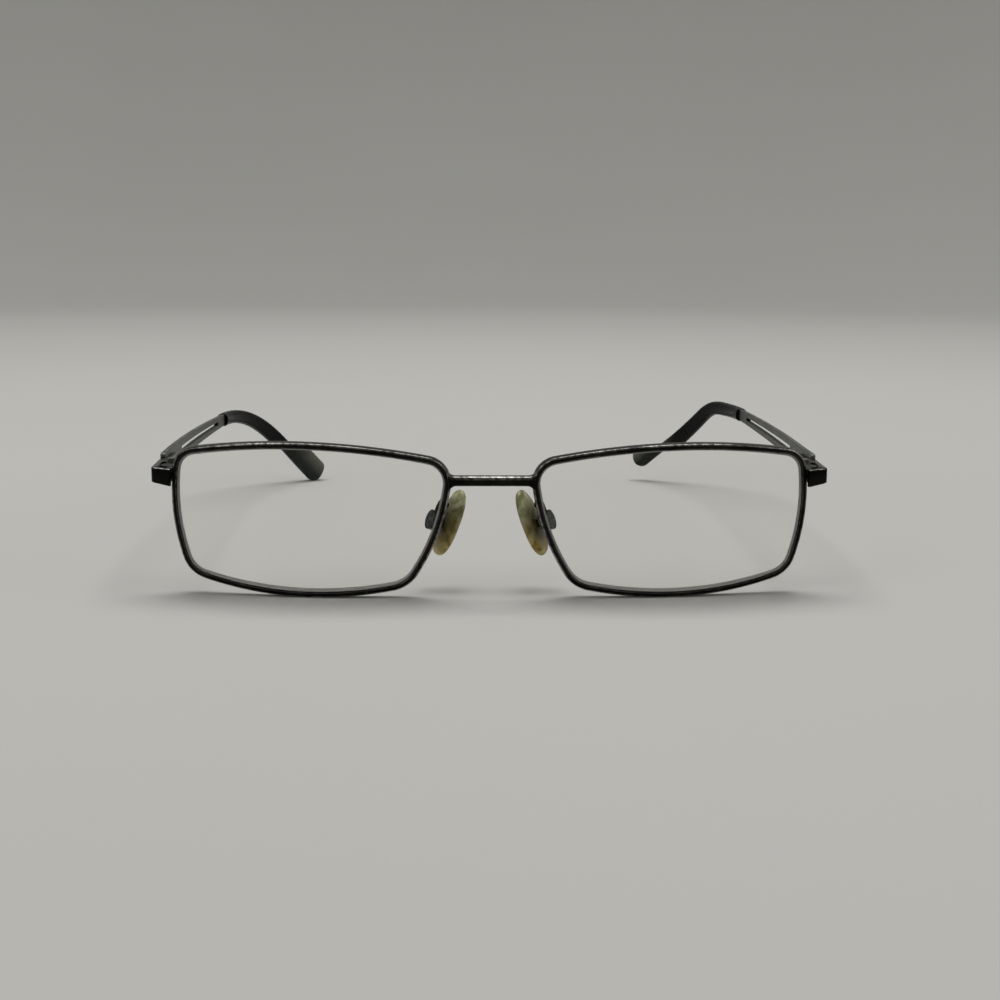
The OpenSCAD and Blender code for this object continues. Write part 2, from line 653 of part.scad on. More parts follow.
// Hinge halves: a leaf on the inside of the leg or the arm, and a strap from it to each knuckle
knuckle_r = knuckle_d / 2;
leaf_x = knuckle_r + slide_gap;
leaf_t = 0.9;
leaf_start = knuckle_r + slide_gap + 0.1;
strap = [
    [leaf_x, 0], [leaf_x, leaf_start + 1], [leaf_x - leaf_t, leaf_start + 1],
    [-knuckle_r * cos(45), knuckle_r * sin(45)], [0, 0]
];
screw_head_d = hinge_screw_d + 0.6;
screw_head_h = 0.5;
front_leaf_len = 6;
leaf_step = 0.6;
module knuckle(low, high, bore)
    translate([0, 0, low]) difference() {
        union() {
            cylinder(r = knuckle_r, h = high - low, $fn = 40);
            linear_extrude(high - low) polygon(strap);
        }
        translate([0, 0, -1]) cylinder(d = bore, h = high - low + 2, $fn = 32);
    }
module leaf(length, height)
    translate([leaf_x - leaf_t, leaf_start, -height / 2]) cube([leaf_t, length - leaf_start, height]);
module hinge_front() color(dark_metal) at_hinge() mirror([0, 1, 0])
    difference() {
        union() {
            knuckle(knuckle_mid / 2 + slide_gap / 2, hinge_h / 2, hinge_screw_d);
            knuckle(-hinge_h / 2, -knuckle_mid / 2 - slide_gap / 2, hinge_screw_d);
            leaf(front_leaf_len, hinge_h);
        }
        translate([0, 0, hinge_h / 2 - screw_head_h]) cylinder(d = screw_head_d, h = 1, $fn = 32);
    }
module hinge_temple() color(dark_metal) at_hinge()
    intersection() {
        union() {
            knuckle(
                -knuckle_mid / 2 + slide_gap / 2,
                knuckle_mid / 2 - slide_gap / 2,
                hinge_screw_d + 2 * pin_fit);
            leaf(temple_leaf_len, hinge_h - leaf_step);
        }
        arm_sweep(arm_bow_r - arm_t, 10);
    }
module hinge_screw() color(steel) at_hinge()
    difference() {
        union() {
            translate([0, 0, -hinge_h / 2]) cylinder(d = hinge_screw_d, h = hinge_h, $fn = 32);
            translate([0, 0, hinge_h / 2 - screw_head_h])
                cylinder(d = screw_head_d, h = screw_head_h, $fn = 32);
        }
        translate([-screw_head_d, -slot_cut / 2, hinge_h / 2 - slot_deep])
            cube([2 * screw_head_d, slot_cut, 1]);
    }

// Temple arm: a side view with a tapered slot, cut from strip that is bowed outwards
module arm_sweep(r, h) translate([arm_out - arm_bow_r, 0, -h / 2]) cylinder(r = r, h = h, $fn = 720);
arm_joint_gap = 0.05;
arm_corner = 0.5;
arm_spare = 3;
arm_steps = 12;
slot_end = arm_len - slot_margin;
function arm_half(y) = (arm_h_front - (arm_h_front - arm_h_back) * pow(y / arm_len, 1.5)) / 2;
arm_edge = [for (i = [0:arm_steps]) arm_joint_gap + (arm_len + arm_spare - arm_joint_gap) * i / arm_steps];
function arm_side(side) = rounded(concat(
    [for (i = [0:arm_steps], y = [arm_edge[i]])
        [[y, arm_mid(y, side) - arm_half(y)], i == 0 ? arm_corner : 0]],
    [for (i = [arm_steps:-1:0], y = [arm_edge[i]])
        [[y, arm_mid(y, side) + arm_half(y)], i == 0 ? arm_corner : 0]]
));
function arm_slot(side) = rounded([
    [[slot_start, arm_mid(slot_start, side) - slot_h_front / 2], 0.46 * slot_h_front],
    [[slot_end, arm_mid(slot_end, side) - slot_h_back / 2], 0.46 * slot_h_back],
    [[slot_end, arm_mid(slot_end, side) + slot_h_back / 2], 0.46 * slot_h_back],
    [[slot_start, arm_mid(slot_start, side) + slot_h_front / 2], 0.46 * slot_h_front]
]);
module arm_blank(side)
    difference() {
        intersection() {
            translate([-20, 0, 0]) rotate([90, 0, 90]) linear_extrude(30)
                difference() {
                    polygon(arm_side(side));
                    polygon(arm_slot(side));
                }
            arm_sweep(arm_bow_r, 20);
        }
        arm_sweep(arm_bow_r - arm_t, 22);
        translate(mouth(side)) rotate([0, 0, mouth_turn]) rotate([arm_tilt[side], 0, 0])
            translate([-6, 0, -6]) cube([12, 12, 12]);
    }
core_root = 0.8;
module temple(side) color(dark_metal) at_hinge() {
    arm_blank(side);
    loft(core_rings(-core_root, 0, side));
}
module temple_tip(side) color(tip_grey) at_hinge() sleeve(tip_rings(side), core_rings(0, core_fit, side));

// Nose pad: an oval silicone cushion round a stiff core, with a tab that goes into the pad box
core_plate = [0.8, 3.4, 6.4];
box_near = pad_t / 2 + box_gap;
box_far = box_near + box_t;
tab_w = 1.3;
tab_r = 0.85;
screw_inset = 1.05;
screw_depth = box_near + screw_inset;
pad_sides = 24;
pad_levels = 8;
pad_roundness = 0.55;
pad_taper = 0.16;
pad_edge_turn = 84;
function pad_ring(a) =
    let (k = pow(cos(a), pad_roundness))
    [for (i = [0:pad_sides - 1])
        let (
            t = 360 * i / pad_sides,
            z = sin(t) * pad_len / 2 * k,
            y = cos(t) * pad_w / 2 * k * (1 - pad_taper * sin(t))
        )
        [sin(a) * pad_t / 2, y, z]];
module pad_screw_axis() translate([screw_depth, 0, -box_drop]) rotate([90, 0, 0]) children();
module pad_core(grow = 0) {
    translate([-core_plate[0] / 2, -core_plate[1] / 2, -core_plate[2] / 2]) cube(core_plate);
    difference() {
        union() {
            translate([0, -tab_w / 2, -box_drop - tab_r]) cube([screw_depth, tab_w, 2 * tab_r]);
            pad_screw_axis() cylinder(r = tab_r, h = tab_w, center = true, $fn = 32);
        }
        if (grow == 0)
            pad_screw_axis() cylinder(d = pad_screw_d + 2 * pin_fit, h = 4, center = true, $fn = 24);
    }
}
module pad_mount() color(dark_metal) in_front() at_pad() pad_core();
module nose_pad() color(silicone) in_front() at_pad()
    difference() {
        loft([for (i = [0:pad_levels]) pad_ring(pad_edge_turn * (2 * i / pad_levels - 1))]);
        pad_core(1);
    }
tab_gap = 0.1;
swing_gap = 0.65;
floor_gap = 0.15;
pocket_open = 1;
pocket = [
    pocket_open + screw_depth - box_near + tab_r + floor_gap,
    tab_w + 2 * tab_gap,
    2 * (tab_r + swing_gap)
];
pad_head_d = pad_screw_d + 0.6;
pad_head_h = 0.4;
module box_body()
    translate([box_near, 0, -box_drop])
        rotate([0, 90, 0]) cylinder(d = box_d, h = box_t, $fn = 48);
module pad_box() color(gunmetal) in_front() at_pad()
    difference() {
        box_body();
        translate([box_near - pocket_open, -pocket[1] / 2, -box_drop - pocket[2] / 2])
            cube([pocket[0], pocket[1], pocket[2]]);
        pad_screw_axis() cylinder(d = pad_screw_d, h = box_d, center = true, $fn = 24);
        pad_screw_axis()
            translate([0, 0, -box_d]) cylinder(d = pad_head_d, h = box_d / 2 + pad_head_h, $fn = 32);
    }
module pad_screw() color(steel) in_front() at_pad()
    intersection() {
        pad_screw_axis() union() {
            cylinder(d = pad_screw_d, h = box_d, center = true, $fn = 24);
            translate([0, 0, -box_d / 2]) cylinder(d = pad_head_d, h = pad_head_h, $fn = 32);
        }
        box_body();
    }

// Pad arm: a wire from the rim's back that turns down into the top of the pad box
function from_pad(p) =
    turn_z([p[0] * cos(pad_lean) - p[2] * sin(pad_lean), p[1], p[0] * sin(pad_lean) + p[2] * cos(pad_lean)],
        -pad_splay) + [pad_reach, pad_back, -pad_drop];
arm_foot = from_pad([(box_near + box_far) / 2 + 0.3, 0, box_d / 2 - 0.5 - box_drop]);
arm_root = [lens_gap / 2 + 0.9, -2.3, -5];
arm_guides = [arm_root, arm_root + [0.2, 5, 0.1], arm_foot + [-0.8, 0.4, 3], arm_foot];
function bezier(g, t) =
    g[0] * pow(1 - t, 3) + g[1] * 3 * t * pow(1 - t, 2) + g[2] * 3 * t * t * (1 - t) + g[3] * pow(t, 3);
function bezier_heading(g, t) =
    unit((g[1] - g[0]) * pow(1 - t, 2) + (g[2] - g[1]) * 2 * t * (1 - t) + (g[3] - g[2]) * t * t);
function wire_ring(g, t, r, sides) =
    let (h = bezier_heading(g, t), a = unit(cross(h, [1, 0, 0])), b = cross(h, a))
    [for (k = [0:sides - 1]) bezier(g, t) + r * (a * cos(360 * k / sides) + b * sin(360 * k / sides))];
module pad_arm() color(gunmetal) in_front()
    difference() {
        loft([for (i = [0:12]) wire_ring(arm_guides, i / 12, pad_arm_d / 2, 12)]);
        rim_space(150, 215, rim_depth);
        at_pad() box_body();
    }

module rim_right() right_side() rim();
module rim_left() left_side() rim();
module lens_right() right_side() lens();
module lens_left() left_side() lens();
module rim_lock_upper_right() right_side() rim_lock_upper();
module rim_lock_upper_left() left_side() rim_lock_upper();
module rim_lock_lower_right() right_side() rim_lock_lower();
module rim_lock_lower_left() left_side() rim_lock_lower();
module rim_screw_right() right_side() rim_screw();
module rim_screw_left() left_side() rim_screw();
module endpiece_right() right_side() endpiece();
module endpiece_left() left_side() endpiece();
module hinge_front_right() right_side() hinge_front();
module hinge_front_left() left_side() hinge_front();
module hinge_screw_right() right_side() hinge_screw();
module hinge_screw_left() left_side() hinge_screw();
module hinge_temple_right() right_side() hinge_temple();
module hinge_temple_left() left_side() hinge_temple();
module temple_right() right_side() temple(0);
module temple_left() left_side() temple(1);
module temple_tip_right() right_side() temple_tip(0);
module temple_tip_left() left_side() temple_tip(1);
module pad_arm_right() right_side() pad_arm();
module pad_arm_left() left_side() pad_arm();
module pad_box_right() right_side() pad_box();
module pad_box_left() left_side() pad_box();
module pad_screw_right() right_side() pad_screw();
module pad_screw_left() left_side() pad_screw();
module pad_mount_right() right_side() pad_mount();
module pad_mount_left() left_side() pad_mount();
module nose_pad_right() right_side() nose_pad();
module nose_pad_left() left_side() nose_pad();

rim_right();
rim_left();
lens_right();
lens_left();
bridge();
rim_lock_upper_right();
rim_lock_upper_left();
rim_lock_lower_right();
rim_lock_lower_left();
rim_screw_right();
rim_screw_left();
endpiece_right();
endpiece_left();
hinge_front_right();
hinge_front_left();
hinge_screw_right();
hinge_screw_left();
hinge_temple_right();
hinge_temple_left();
temple_right();
temple_left();
temple_tip_right();
temple_tip_left();
pad_arm_right();
pad_arm_left();
pad_box_right();
pad_box_left();
pad_screw_right();
pad_screw_left();
pad_mount_right();
pad_mount_left();
nose_pad_right();
nose_pad_left();
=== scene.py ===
"""Looks of the rectangular metal eyeglasses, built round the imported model.

Skins are drawn in millimetres in the worn frame: x to the right as seen from the front, y back,
z up. What both sides share is drawn once, for the right side. Then to_row() mirrors it and sets it
down on the floor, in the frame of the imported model.
"""
import math

import bmesh
import bpy
import numpy as np
from mathutils import Matrix, Vector


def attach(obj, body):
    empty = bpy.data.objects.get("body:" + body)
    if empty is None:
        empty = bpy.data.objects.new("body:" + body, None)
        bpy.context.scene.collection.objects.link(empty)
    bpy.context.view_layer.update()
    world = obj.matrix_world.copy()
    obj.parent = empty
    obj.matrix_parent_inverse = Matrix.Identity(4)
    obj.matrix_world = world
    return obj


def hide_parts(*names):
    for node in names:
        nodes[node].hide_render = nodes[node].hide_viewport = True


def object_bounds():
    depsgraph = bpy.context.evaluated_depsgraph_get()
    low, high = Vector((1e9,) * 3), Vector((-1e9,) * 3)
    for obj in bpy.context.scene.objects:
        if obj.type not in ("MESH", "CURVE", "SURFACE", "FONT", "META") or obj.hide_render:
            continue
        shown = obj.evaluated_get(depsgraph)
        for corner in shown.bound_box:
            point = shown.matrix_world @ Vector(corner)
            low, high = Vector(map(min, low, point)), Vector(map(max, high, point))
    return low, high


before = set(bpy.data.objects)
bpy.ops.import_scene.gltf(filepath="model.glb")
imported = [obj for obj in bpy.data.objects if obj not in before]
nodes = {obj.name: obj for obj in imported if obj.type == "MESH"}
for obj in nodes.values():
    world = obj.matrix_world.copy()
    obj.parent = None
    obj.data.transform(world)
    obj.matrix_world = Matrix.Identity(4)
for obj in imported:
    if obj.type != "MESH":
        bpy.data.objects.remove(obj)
cad_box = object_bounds()

# ---- Sizes in millimetres and degrees, the same named values as in the part's source ----
# Lenses and their outline
LENS_W, LENS_H, LENS_GAP, LENS_DROP = 55.7, 30.9, 16.8, 7.95
FRONT_R, BACK_R, LENS_T, FACE_DEPTH = 88.0, 110.0, 2.3, 0.3
BEVEL_H, BEVEL_W, BEVEL_DEPTH, LENS_FIT = 0.5, 0.9, 0.95, 0.05
TOP_R, TOP_PEAK, LOW_R = 111.0, 2.1, 95.5
OUTER_R, OUTER_PEAK, INNER_R, INNER_PEAK = 48.0, 3.9, 45.3, 13.0
CORNERS = (4.6, 5.1, 6.6, 5.2)
# Rims and bridge
RIM_T, RIM_DEPTH, LOCK_GAP = 1.15, 2.2, 0.12
FRONT_TILT, WRAP, FRONT_BOW = 7.2, 5.0, 6.0
BRIDGE_H, BRIDGE_DEPTH, BRIDGE_RISE, BRIDGE_FRONT = 2.0, 1.7, 0.35, -4.35
# Endpieces and hinges
FRONT_W, END_H, END_RISE, END_FOOT, END_BEVEL = 137.0, 3.1, 0.5, 0.7, 0.3
END_T, LEG_T, LEG_LEN, FLARE = 1.3, 1.2, 14.5, 3.1
KNUCKLE_D, SLIDE_GAP = 2.5, 0.08
# Temples and tips, bent by hand, each side its own way: pairs are the right one, then the left one
ARM_LEN, ARM_T, ARM_H0, ARM_H1, ARM_LIFT, ARM_R = 85.5, 1.1, 4.6, 2.9, 0.1, 930.0
ARM_STRAIGHT, ARM_RISE = 12.0, (1.4, -0.35)
SLOT_START, SLOT_MARGIN, SLOT_H0, SLOT_H1 = 24.5, 9.0, 1.3, 0.8
TIP_LEN, TIP_H0, TIP_H1, TIP_T, TIP_TURN = 50.0, 3.4, 4.4, 2.9, 75.0
TIP_DROP, TIP_STRAIGHT, TIP_BEND = (41.0, 48.0), (13.5, 4.0), (11.0, 34.0)
CORE_W, CORE_T, CORE_SHARE = 1.5, 0.9, 0.72
# Nose pads
PAD_LEN, PAD_W, PAD_T, PAD_REACH, PAD_BACK, PAD_DROP = 14.4, 7.4, 2.7, 8.55, 5.2, 11.1
PAD_LEAN, PAD_SPLAY, PAD_ARM_D = 23.5, 22.0, 1.1
BOX_D, BOX_T, BOX_DROP, BOX_GAP = 4.1, 2.5, 0.55, 1.0
# How the whole object is set down on the floor
RAKE, MID_Y, LOW_Z = 0.814442, 64.0526, -24.4412

# ---- Sizes of what only the looks have ----
# Ground bands round the two faces of a lens
FRONT_SAFETY, BACK_SAFETY = 0.12, 0.55
# Swell of the tips' upper edges near their ends, right and left
PADDLE = (0.3, 1.2)

RIM_IN = LENS_FIT - BEVEL_H
RIM_OUT = RIM_IN + RIM_T

# Name, direction of x, and index into the pairs above
SIDES = (("right", 1, 0), ("left", -1, 1))


# ---- Plain geometry ----
def dirs(deg):
    a = math.radians(deg)
    return np.array([math.cos(a), math.sin(a)])


def rot_x(p, deg):
    c, s = dirs(deg)
    p = np.asarray(p, float)
    return np.stack([p[..., 0], p[..., 1] * c - p[..., 2] * s, p[..., 1] * s + p[..., 2] * c], -1)


def rot_y(p, deg):
    c, s = dirs(deg)
    p = np.asarray(p, float)
    return np.stack([p[..., 0] * c + p[..., 2] * s, p[..., 1], -p[..., 0] * s + p[..., 2] * c], -1)


def rot_z(p, deg):
    c, s = dirs(deg)
    p = np.asarray(p, float)
    return np.stack([p[..., 0] * c - p[..., 1] * s, p[..., 0] * s + p[..., 1] * c, p[..., 2]], -1)


def smooth(t):
    """0 to 1, with a soft start and end."""
    t = np.clip(t, 0, 1)
    return t * t * (3 - 2 * t)


def near(distance, reach):
    """1 at distance 0, falling evenly to 0 at the reach."""
    return np.maximum(0, 1 - np.abs(distance) / reach)


def sag(p, r=FRONT_R):
    """How far a sphere of radius r has fallen back at a place off its axis."""
    p = np.asarray(p, float)
    return r - np.sqrt(r * r - (p ** 2).sum(-1))


def rounded(corners, steps):
    """A closed polygon from corners (point, radius), each rounded by its radius."""
    out = []
    n = len(corners)
    for i in range(n):
        b, r = np.array(corners[i][0], float), corners[i][1]
        if r <= 0:
            out.append(b)
            continue
        u = np.array(corners[i - 1][0], float) - b
        v = np.array(corners[(i + 1) % n][0], float) - b
        u, v = u / np.linalg.norm(u), v / np.linalg.norm(v)
        half = math.acos(np.clip(u @ v, -1, 1)) / 2
        mid = b + (u + v) / np.linalg.norm(u + v) * r / math.sin(half)
        p, q = b + u * r / math.tan(half) - mid, b + v * r / math.tan(half) - mid
        start = math.atan2(p[1], p[0])
        turn = math.atan2(p[0] * q[1] - p[1] * q[0], p @ q)
        for k in range(steps + 1):
            a = start + turn * k / steps
            out.append(mid + r * np.array([math.cos(a), math.sin(a)]))
    return np.array(out)


# ---- Places: each at_ function leads from a part's own axes, right side, to the worn frame ----
WRAP_SHIFT = (float(sag([LENS_W / 2, 0.0])) + BEVEL_DEPTH) * math.sin(math.radians(WRAP))
LENS_X = LENS_GAP / 2 + LENS_W / 2 + WRAP_SHIFT
LEG_DIR = np.array([math.sin(math.radians(FLARE)), math.cos(math.radians(FLARE))])
LEG_OUT = np.array([math.cos(math.radians(FLARE)), -math.sin(math.radians(FLARE))])
LEG_END = np.array([FRONT_W / 2, 0]) + LEG_LEN * LEG_DIR
LEG_INSET = LEG_T + SLIDE_GAP + KNUCKLE_D / 2
HINGE_PIN = LEG_END - LEG_INSET * LEG_OUT


def at_front(p):
    return rot_x(p, FRONT_TILT)


def lens_frame(p):
    return rot_z(p, WRAP) + [LENS_X, -FRONT_BOW, -LENS_DROP]


def at_lens(p):
    return at_front(lens_frame(p))


def at_hinge(p):
    return rot_z(p, -FLARE) + [HINGE_PIN[0], HINGE_PIN[1], END_RISE]


def pad_frame(p):
    return rot_z(rot_y(p, -PAD_LEAN), -PAD_SPLAY) + [PAD_REACH, PAD_BACK, -PAD_DROP]


def at_pad(p):
    return at_front(pad_frame(p))


def to_row(p, side):
    """From the worn frame in millimetres, right side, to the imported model's frame in metres."""
    p = rot_x(p * [side, 1, 1], -RAKE) - [0, MID_Y, LOW_Z]
    return p * 0.001


# ---- Mesh helpers ----
def tube(rings, caps=True):
    """Points and faces of a skin over equal rings of points."""
    rings = np.asarray(rings, float)
    count, n = rings.shape[:2]
    faces = []
    for i in range(count - 1):
        a, b = i * n, (i + 1) * n
        for j in range(n):
            k = (j + 1) % n
            faces.append((a + j, a + k, b + k, b + j))
    if caps:
        faces.append(tuple(range(n - 1, -1, -1)))
        faces.append(tuple((count - 1) * n + j for j in range(n)))
    return rings.reshape(-1, 3), faces


def make(name, points, faces, mats, body, slot, stands_for, sharp, kinds=None, **values):
    """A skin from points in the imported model's frame, which rides on a body and replaces a node.

    sharp: edges above this angle in degrees aren't shaded smooth. kinds: the material of each face.
    values: for each point a number that the materials read, by name.
    """
    mesh = bpy.data.meshes.new(name)
    # a rounding that comes out of the solids' box by a few hundredths is held to it
    points = np.clip(points, *np.array([list(v) for v in cad_box]))
    mesh.from_pydata([tuple(p) for p in points], [], [tuple(int(i) for i in f) for f in faces])
    for m in mats:
        mesh.materials.append(m)
    if kinds is not None:
        mesh.polygons.foreach_set("material_index", np.asarray(kinds, np.int32))
    for key, data in values.items():
        layer = mesh.attributes.new(key, "FLOAT", "POINT")
        layer.data.foreach_set("value", np.asarray(data, np.float32))
    bm = bmesh.new()
    bm.from_mesh(mesh)
    bmesh.ops.remove_doubles(bm, verts=bm.verts, dist=1e-7)
    bmesh.ops.recalc_face_normals(bm, faces=bm.faces)
    bm.to_mesh(mesh)
    bm.free()
    mesh.polygons.foreach_set("use_smooth", np.ones(len(mesh.polygons), bool))
    mesh.set_sharp_from_angle(angle=math.radians(sharp))
    obj = bpy.data.objects.new(name, mesh)
    bpy.context.scene.collection.objects.link(obj)
    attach(obj, body)
    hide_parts(stands_for)
    return obj


def make_pair(name, points, faces, mats, body, slot, stands_for, sharp, **more):
    """One skin for the right side and its mirror for the left, from points in the worn frame."""
    return [
        make(f"{name}_{side}", to_row(points, sign), faces, mats, body.format(side), slot,
             f"{stands_for}_{side}", sharp, **more)
        for side, sign, _ in SIDES
    ]


# ---- Materials ----
class Nodes:
    """A short way to write a procedural material. Noise scales are per metre."""

    def __init__(self, name):
        self.mat = bpy.data.materials.new(name)
        self.mat.use_nodes = True
        self.tree = self.mat.node_tree
        self.bsdf = self.tree.nodes["Principled BSDF"]
        self.coord = self.add("ShaderNodeTexCoord").outputs["Object"]

    def add(self, kind, **values):
        node = self.tree.nodes.new(kind)
        for key, value in values.items():
            setattr(node, key, value)
        return node

    def link(self, a, b):
        self.tree.links.new(a, b)

    def set(self, **values):
        """Numbers and colours on the shader's own sockets."""
        for key, value in values.items():
            self.bsdf.inputs[key.replace("_", " ")].default_value = value

    def feed(self, name, source):
        """A result of nodes into one of the shader's sockets."""
        self.link(source, self.bsdf.inputs[name])

    def noise(self, scale, detail, rough, stretch=None, distortion=0.0):
        node = self.add("ShaderNodeTexNoise")
        for key, value in (("Scale", scale), ("Detail", detail), ("Roughness", rough),
                           ("Distortion", distortion)):
            node.inputs[key].default_value = value
        source = self.coord
        if stretch:
            mapping = self.add("ShaderNodeMapping")
            mapping.inputs["Scale"].default_value = stretch
            self.link(source, mapping.inputs["Vector"])
            source = mapping.outputs["Vector"]
        self.link(source, node.inputs["Vector"])
        return node.outputs["Fac"]

    def ramp(self, fac, *stops):
        node = self.add("ShaderNodeValToRGB")
        ramp = node.color_ramp
        while len(ramp.elements) < len(stops):
            ramp.elements.new(0.5)
        for element, (position, colour) in zip(ramp.elements, stops):
            element.position = position
            element.color = (*colour, 1)
        self.link(fac, node.inputs["Fac"])
        return node.outputs["Color"]

    def span(self, fac, low, high, start=0.0, end=1.0):
        """From start..end to low..high, held at both ends."""
        node = self.add("ShaderNodeMapRange")
        for key, value in (("From Min", start), ("From Max", end), ("To Min", low), ("To Max", high)):
            node.inputs[key].default_value = value
        self.link(fac, node.inputs["Value"])
        return node.outputs["Result"]

    def mix(self, fac, a, b):
        node = self.add("ShaderNodeMix", data_type="RGBA", blend_type="MIX")
        # inputs 6 and 7 and output 2 are the colour sockets of this node
        for value, socket in ((fac, 0), (a, 6), (b, 7)):
            if isinstance(value, tuple):
                node.inputs[socket].default_value = (*value, 1)
            else:
                self.link(value, node.inputs[socket])
        return node.outputs[2]

    def attribute(self, name):
        return self.add("ShaderNodeAttribute", attribute_name=name).outputs["Fac"]

    def calc(self, operation, a, b):
        node = self.add("ShaderNodeMath", operation=operation)
        self.link(a, node.inputs[0])
        self.link(b, node.inputs[1])
        return node.outputs[0]

    def times(self, a, b):
        return self.calc("MULTIPLY", a, b)

    def plus(self, a, b):
        return self.calc("ADD", a, b)

    def bump(self, height, strength, distance):
        node = self.add("ShaderNodeBump")
        node.inputs["Strength"].default_value = strength
        node.inputs["Distance"].default_value = distance
        self.link(height, node.inputs["Height"])
        self.feed("Normal", node.outputs["Normal"])


def dark_plate(name, dark, light, worn, rough, bump=0.1, slow_scale=180):
    """Dark plated metal: slow changes of tone, fine ones of gloss, and wear where the mesh says."""
    n = Nodes(name)
    n.set(Metallic=1.0)
    slow = n.noise(slow_scale, 3, 0.55)
    fine = n.noise(2600, 4, 0.6)
    tone = n.mix(n.span(slow, 0, 1, 0.35, 0.65), dark, light)
    flakes = n.span(n.noise(1100, 4, 0.7), 0.2, 1, 0.4, 0.58)
    stretches = n.span(n.noise(90, 2, 0.5), 0.45, 1, 0.38, 0.56)
    wear = n.times(n.attribute("wear"), n.times(flakes, stretches))
    n.feed("Base Color", n.mix(wear, tone, worn))
    n.feed("Roughness", n.span(n.plus(fine, slow), rough - 0.08, rough + 0.1, 0.7, 1.3))
    n.bump(fine, bump, 0.00003)
    return n.mat


def arm_finish():
    """Temple strip: a brushed dark grey finish, mottled where handling has dulled it."""
    n = Nodes("arm_metal")
    n.set(Metallic=0.85)
    cloud = n.noise(330, 6, 0.66, distortion=0.3)
    spot = n.noise(620, 4, 0.65)
    brush = n.noise(900, 3, 0.6, stretch=(6, 0.35, 6))
    base = n.ramp(cloud, (0.34, (0.06, 0.061, 0.054)), (0.5, (0.105, 0.105, 0.094)),
                  (0.66, (0.17, 0.17, 0.153)))
    speckle = n.span(spot, 0, 1, 0.52, 0.66)
    dulled = n.times(speckle, n.span(n.attribute("front"), 0.35, 0.85))
    base = n.mix(dulled, base, (0.035, 0.036, 0.032))
    # painted shade: near black round the slot's far end, where the slot's inner wall lies in shadow
    base = n.mix(n.attribute("grime_and_painted_shade"), base, (0.006, 0.006, 0.006))
    wear = n.times(n.attribute("wear"), n.span(spot, 0, 1, 0.4, 0.66))
    n.feed("Base Color", n.mix(wear, base, (0.3, 0.3, 0.28)))
    n.feed("Roughness", n.span(n.plus(cloud, brush), 0.34, 0.56, 0.7, 1.3))
    n.bump(brush, 0.2, 0.00004)
    return n.mat


def screw_finish():
    """Screw steel, with turning marks and darker grime."""
    n = Nodes("screw_steel")
    n.set(Metallic=1.0)
    grime_and_painted_shade = n.noise(1800, 4, 0.6)
    n.feed("Base Color", n.ramp(grime_and_painted_shade, (0.35, (0.16, 0.155, 0.145)), (0.6, (0.42, 0.41, 0.39))))
    n.feed("Roughness", n.span(grime_and_painted_shade, 0.25, 0.5))
    n.bump(n.noise(5200, 2, 0.5), 0.1, 0.00002)
    return n.mat


def lens_clear_finish():
    """Polished lens resin, coated against reflections, with a very faint haze of fingerprints."""
    n = Nodes("lens_clear")
    n.set(Base_Color=(0.975, 0.968, 0.955, 1), Transmission_Weight=1.0, IOR=1.5)
    # the coating: reflections are dimmed, and faintly green
    n.set(Specular_Tint=(0.17, 0.22, 0.2, 1))
    smear = n.noise(70, 4, 0.6, distortion=1.2)
    n.feed("Roughness", n.span(smear, 0.0, 0.03, 0.55, 0.8))
    return n.mat


def lens_edge_finish():
    """The ground edge of the lens: fine grey-white frost."""
    n = Nodes("lens_edge")
    n.set(Transmission_Weight=0.1, IOR=1.5)
    grind = n.noise(3200, 3, 0.6)
    n.feed("Base Color", n.ramp(grind, (0.3, (0.4, 0.39, 0.365)), (0.7, (0.52, 0.51, 0.48))))
    n.feed("Roughness", n.span(grind, 0.45, 0.7))
    n.bump(grind, 0.3, 0.00004)
    return n.mat


def tip_finish():
    """Black acetate-like plastic: soft gloss, faint cloud, fine scuffs, and painted sheen near the
    ends.
    """
    n = Nodes("tip_plastic")
    n.set(IOR=1.46, Specular_IOR_Level=0.13)
    cloud = n.noise(60, 4, 0.55, distortion=0.8)
    scuff = n.noise(1600, 4, 0.7, stretch=(1, 0.25, 1))
    # painted sheen: a paler olive grey on the upper side of the tips, near their ends
    bloom = n.times(n.attribute("bloom"), n.span(cloud, 0.5, 1.0, 0.35, 0.65))
    base = n.ramp(cloud, (0.35, (0.004, 0.0045, 0.004)), (0.65, (0.01, 0.011, 0.01)))
    n.feed("Base Color", n.mix(bloom, base, (0.15, 0.15, 0.115)))
    n.feed("Roughness", n.span(scuff, 0.2, 0.4, 0.35, 0.7))
    n.bump(scuff, 0.1, 0.00003)
    return n.mat


def silicone_finish():
    """Aged silicone: translucent olive, amber towards the low end, murky over the stiff core."""
    n = Nodes("silicone")
    n.set(Subsurface_Weight=0.5, Subsurface_Scale=0.0015, Subsurface_Radius=(1.0, 0.85, 0.35))
    n.set(IOR=1.41, Transmission_Weight=0.38)
    cloud = n.noise(400, 5, 0.62, distortion=0.8)
    stain = n.noise(700, 4, 0.65)
    pale = n.ramp(cloud, (0.38, (0.2, 0.2, 0.08)), (0.5, (0.45, 0.45, 0.24)),
                  (0.62, (0.74, 0.73, 0.52)))
    amber = n.ramp(cloud, (0.38, (0.3, 0.2, 0.03)), (0.5, (0.68, 0.52, 0.12)),
                   (0.62, (0.94, 0.8, 0.34)))
    low = n.times(n.attribute("low"), n.span(stain, 0.55, 1.0, 0.3, 0.6))
    murk = n.times(n.attribute("core"), n.span(cloud, 0.55, 1.2, 0.4, 0.56))
    n.feed("Base Color", n.mix(murk, n.mix(low, pale, amber), (0.06, 0.038, 0.006)))
    n.feed("Roughness", n.span(stain, 0.24, 0.5))
    n.bump(n.noise(1100, 4, 0.6), 0.2, 0.00006)
    return n.mat


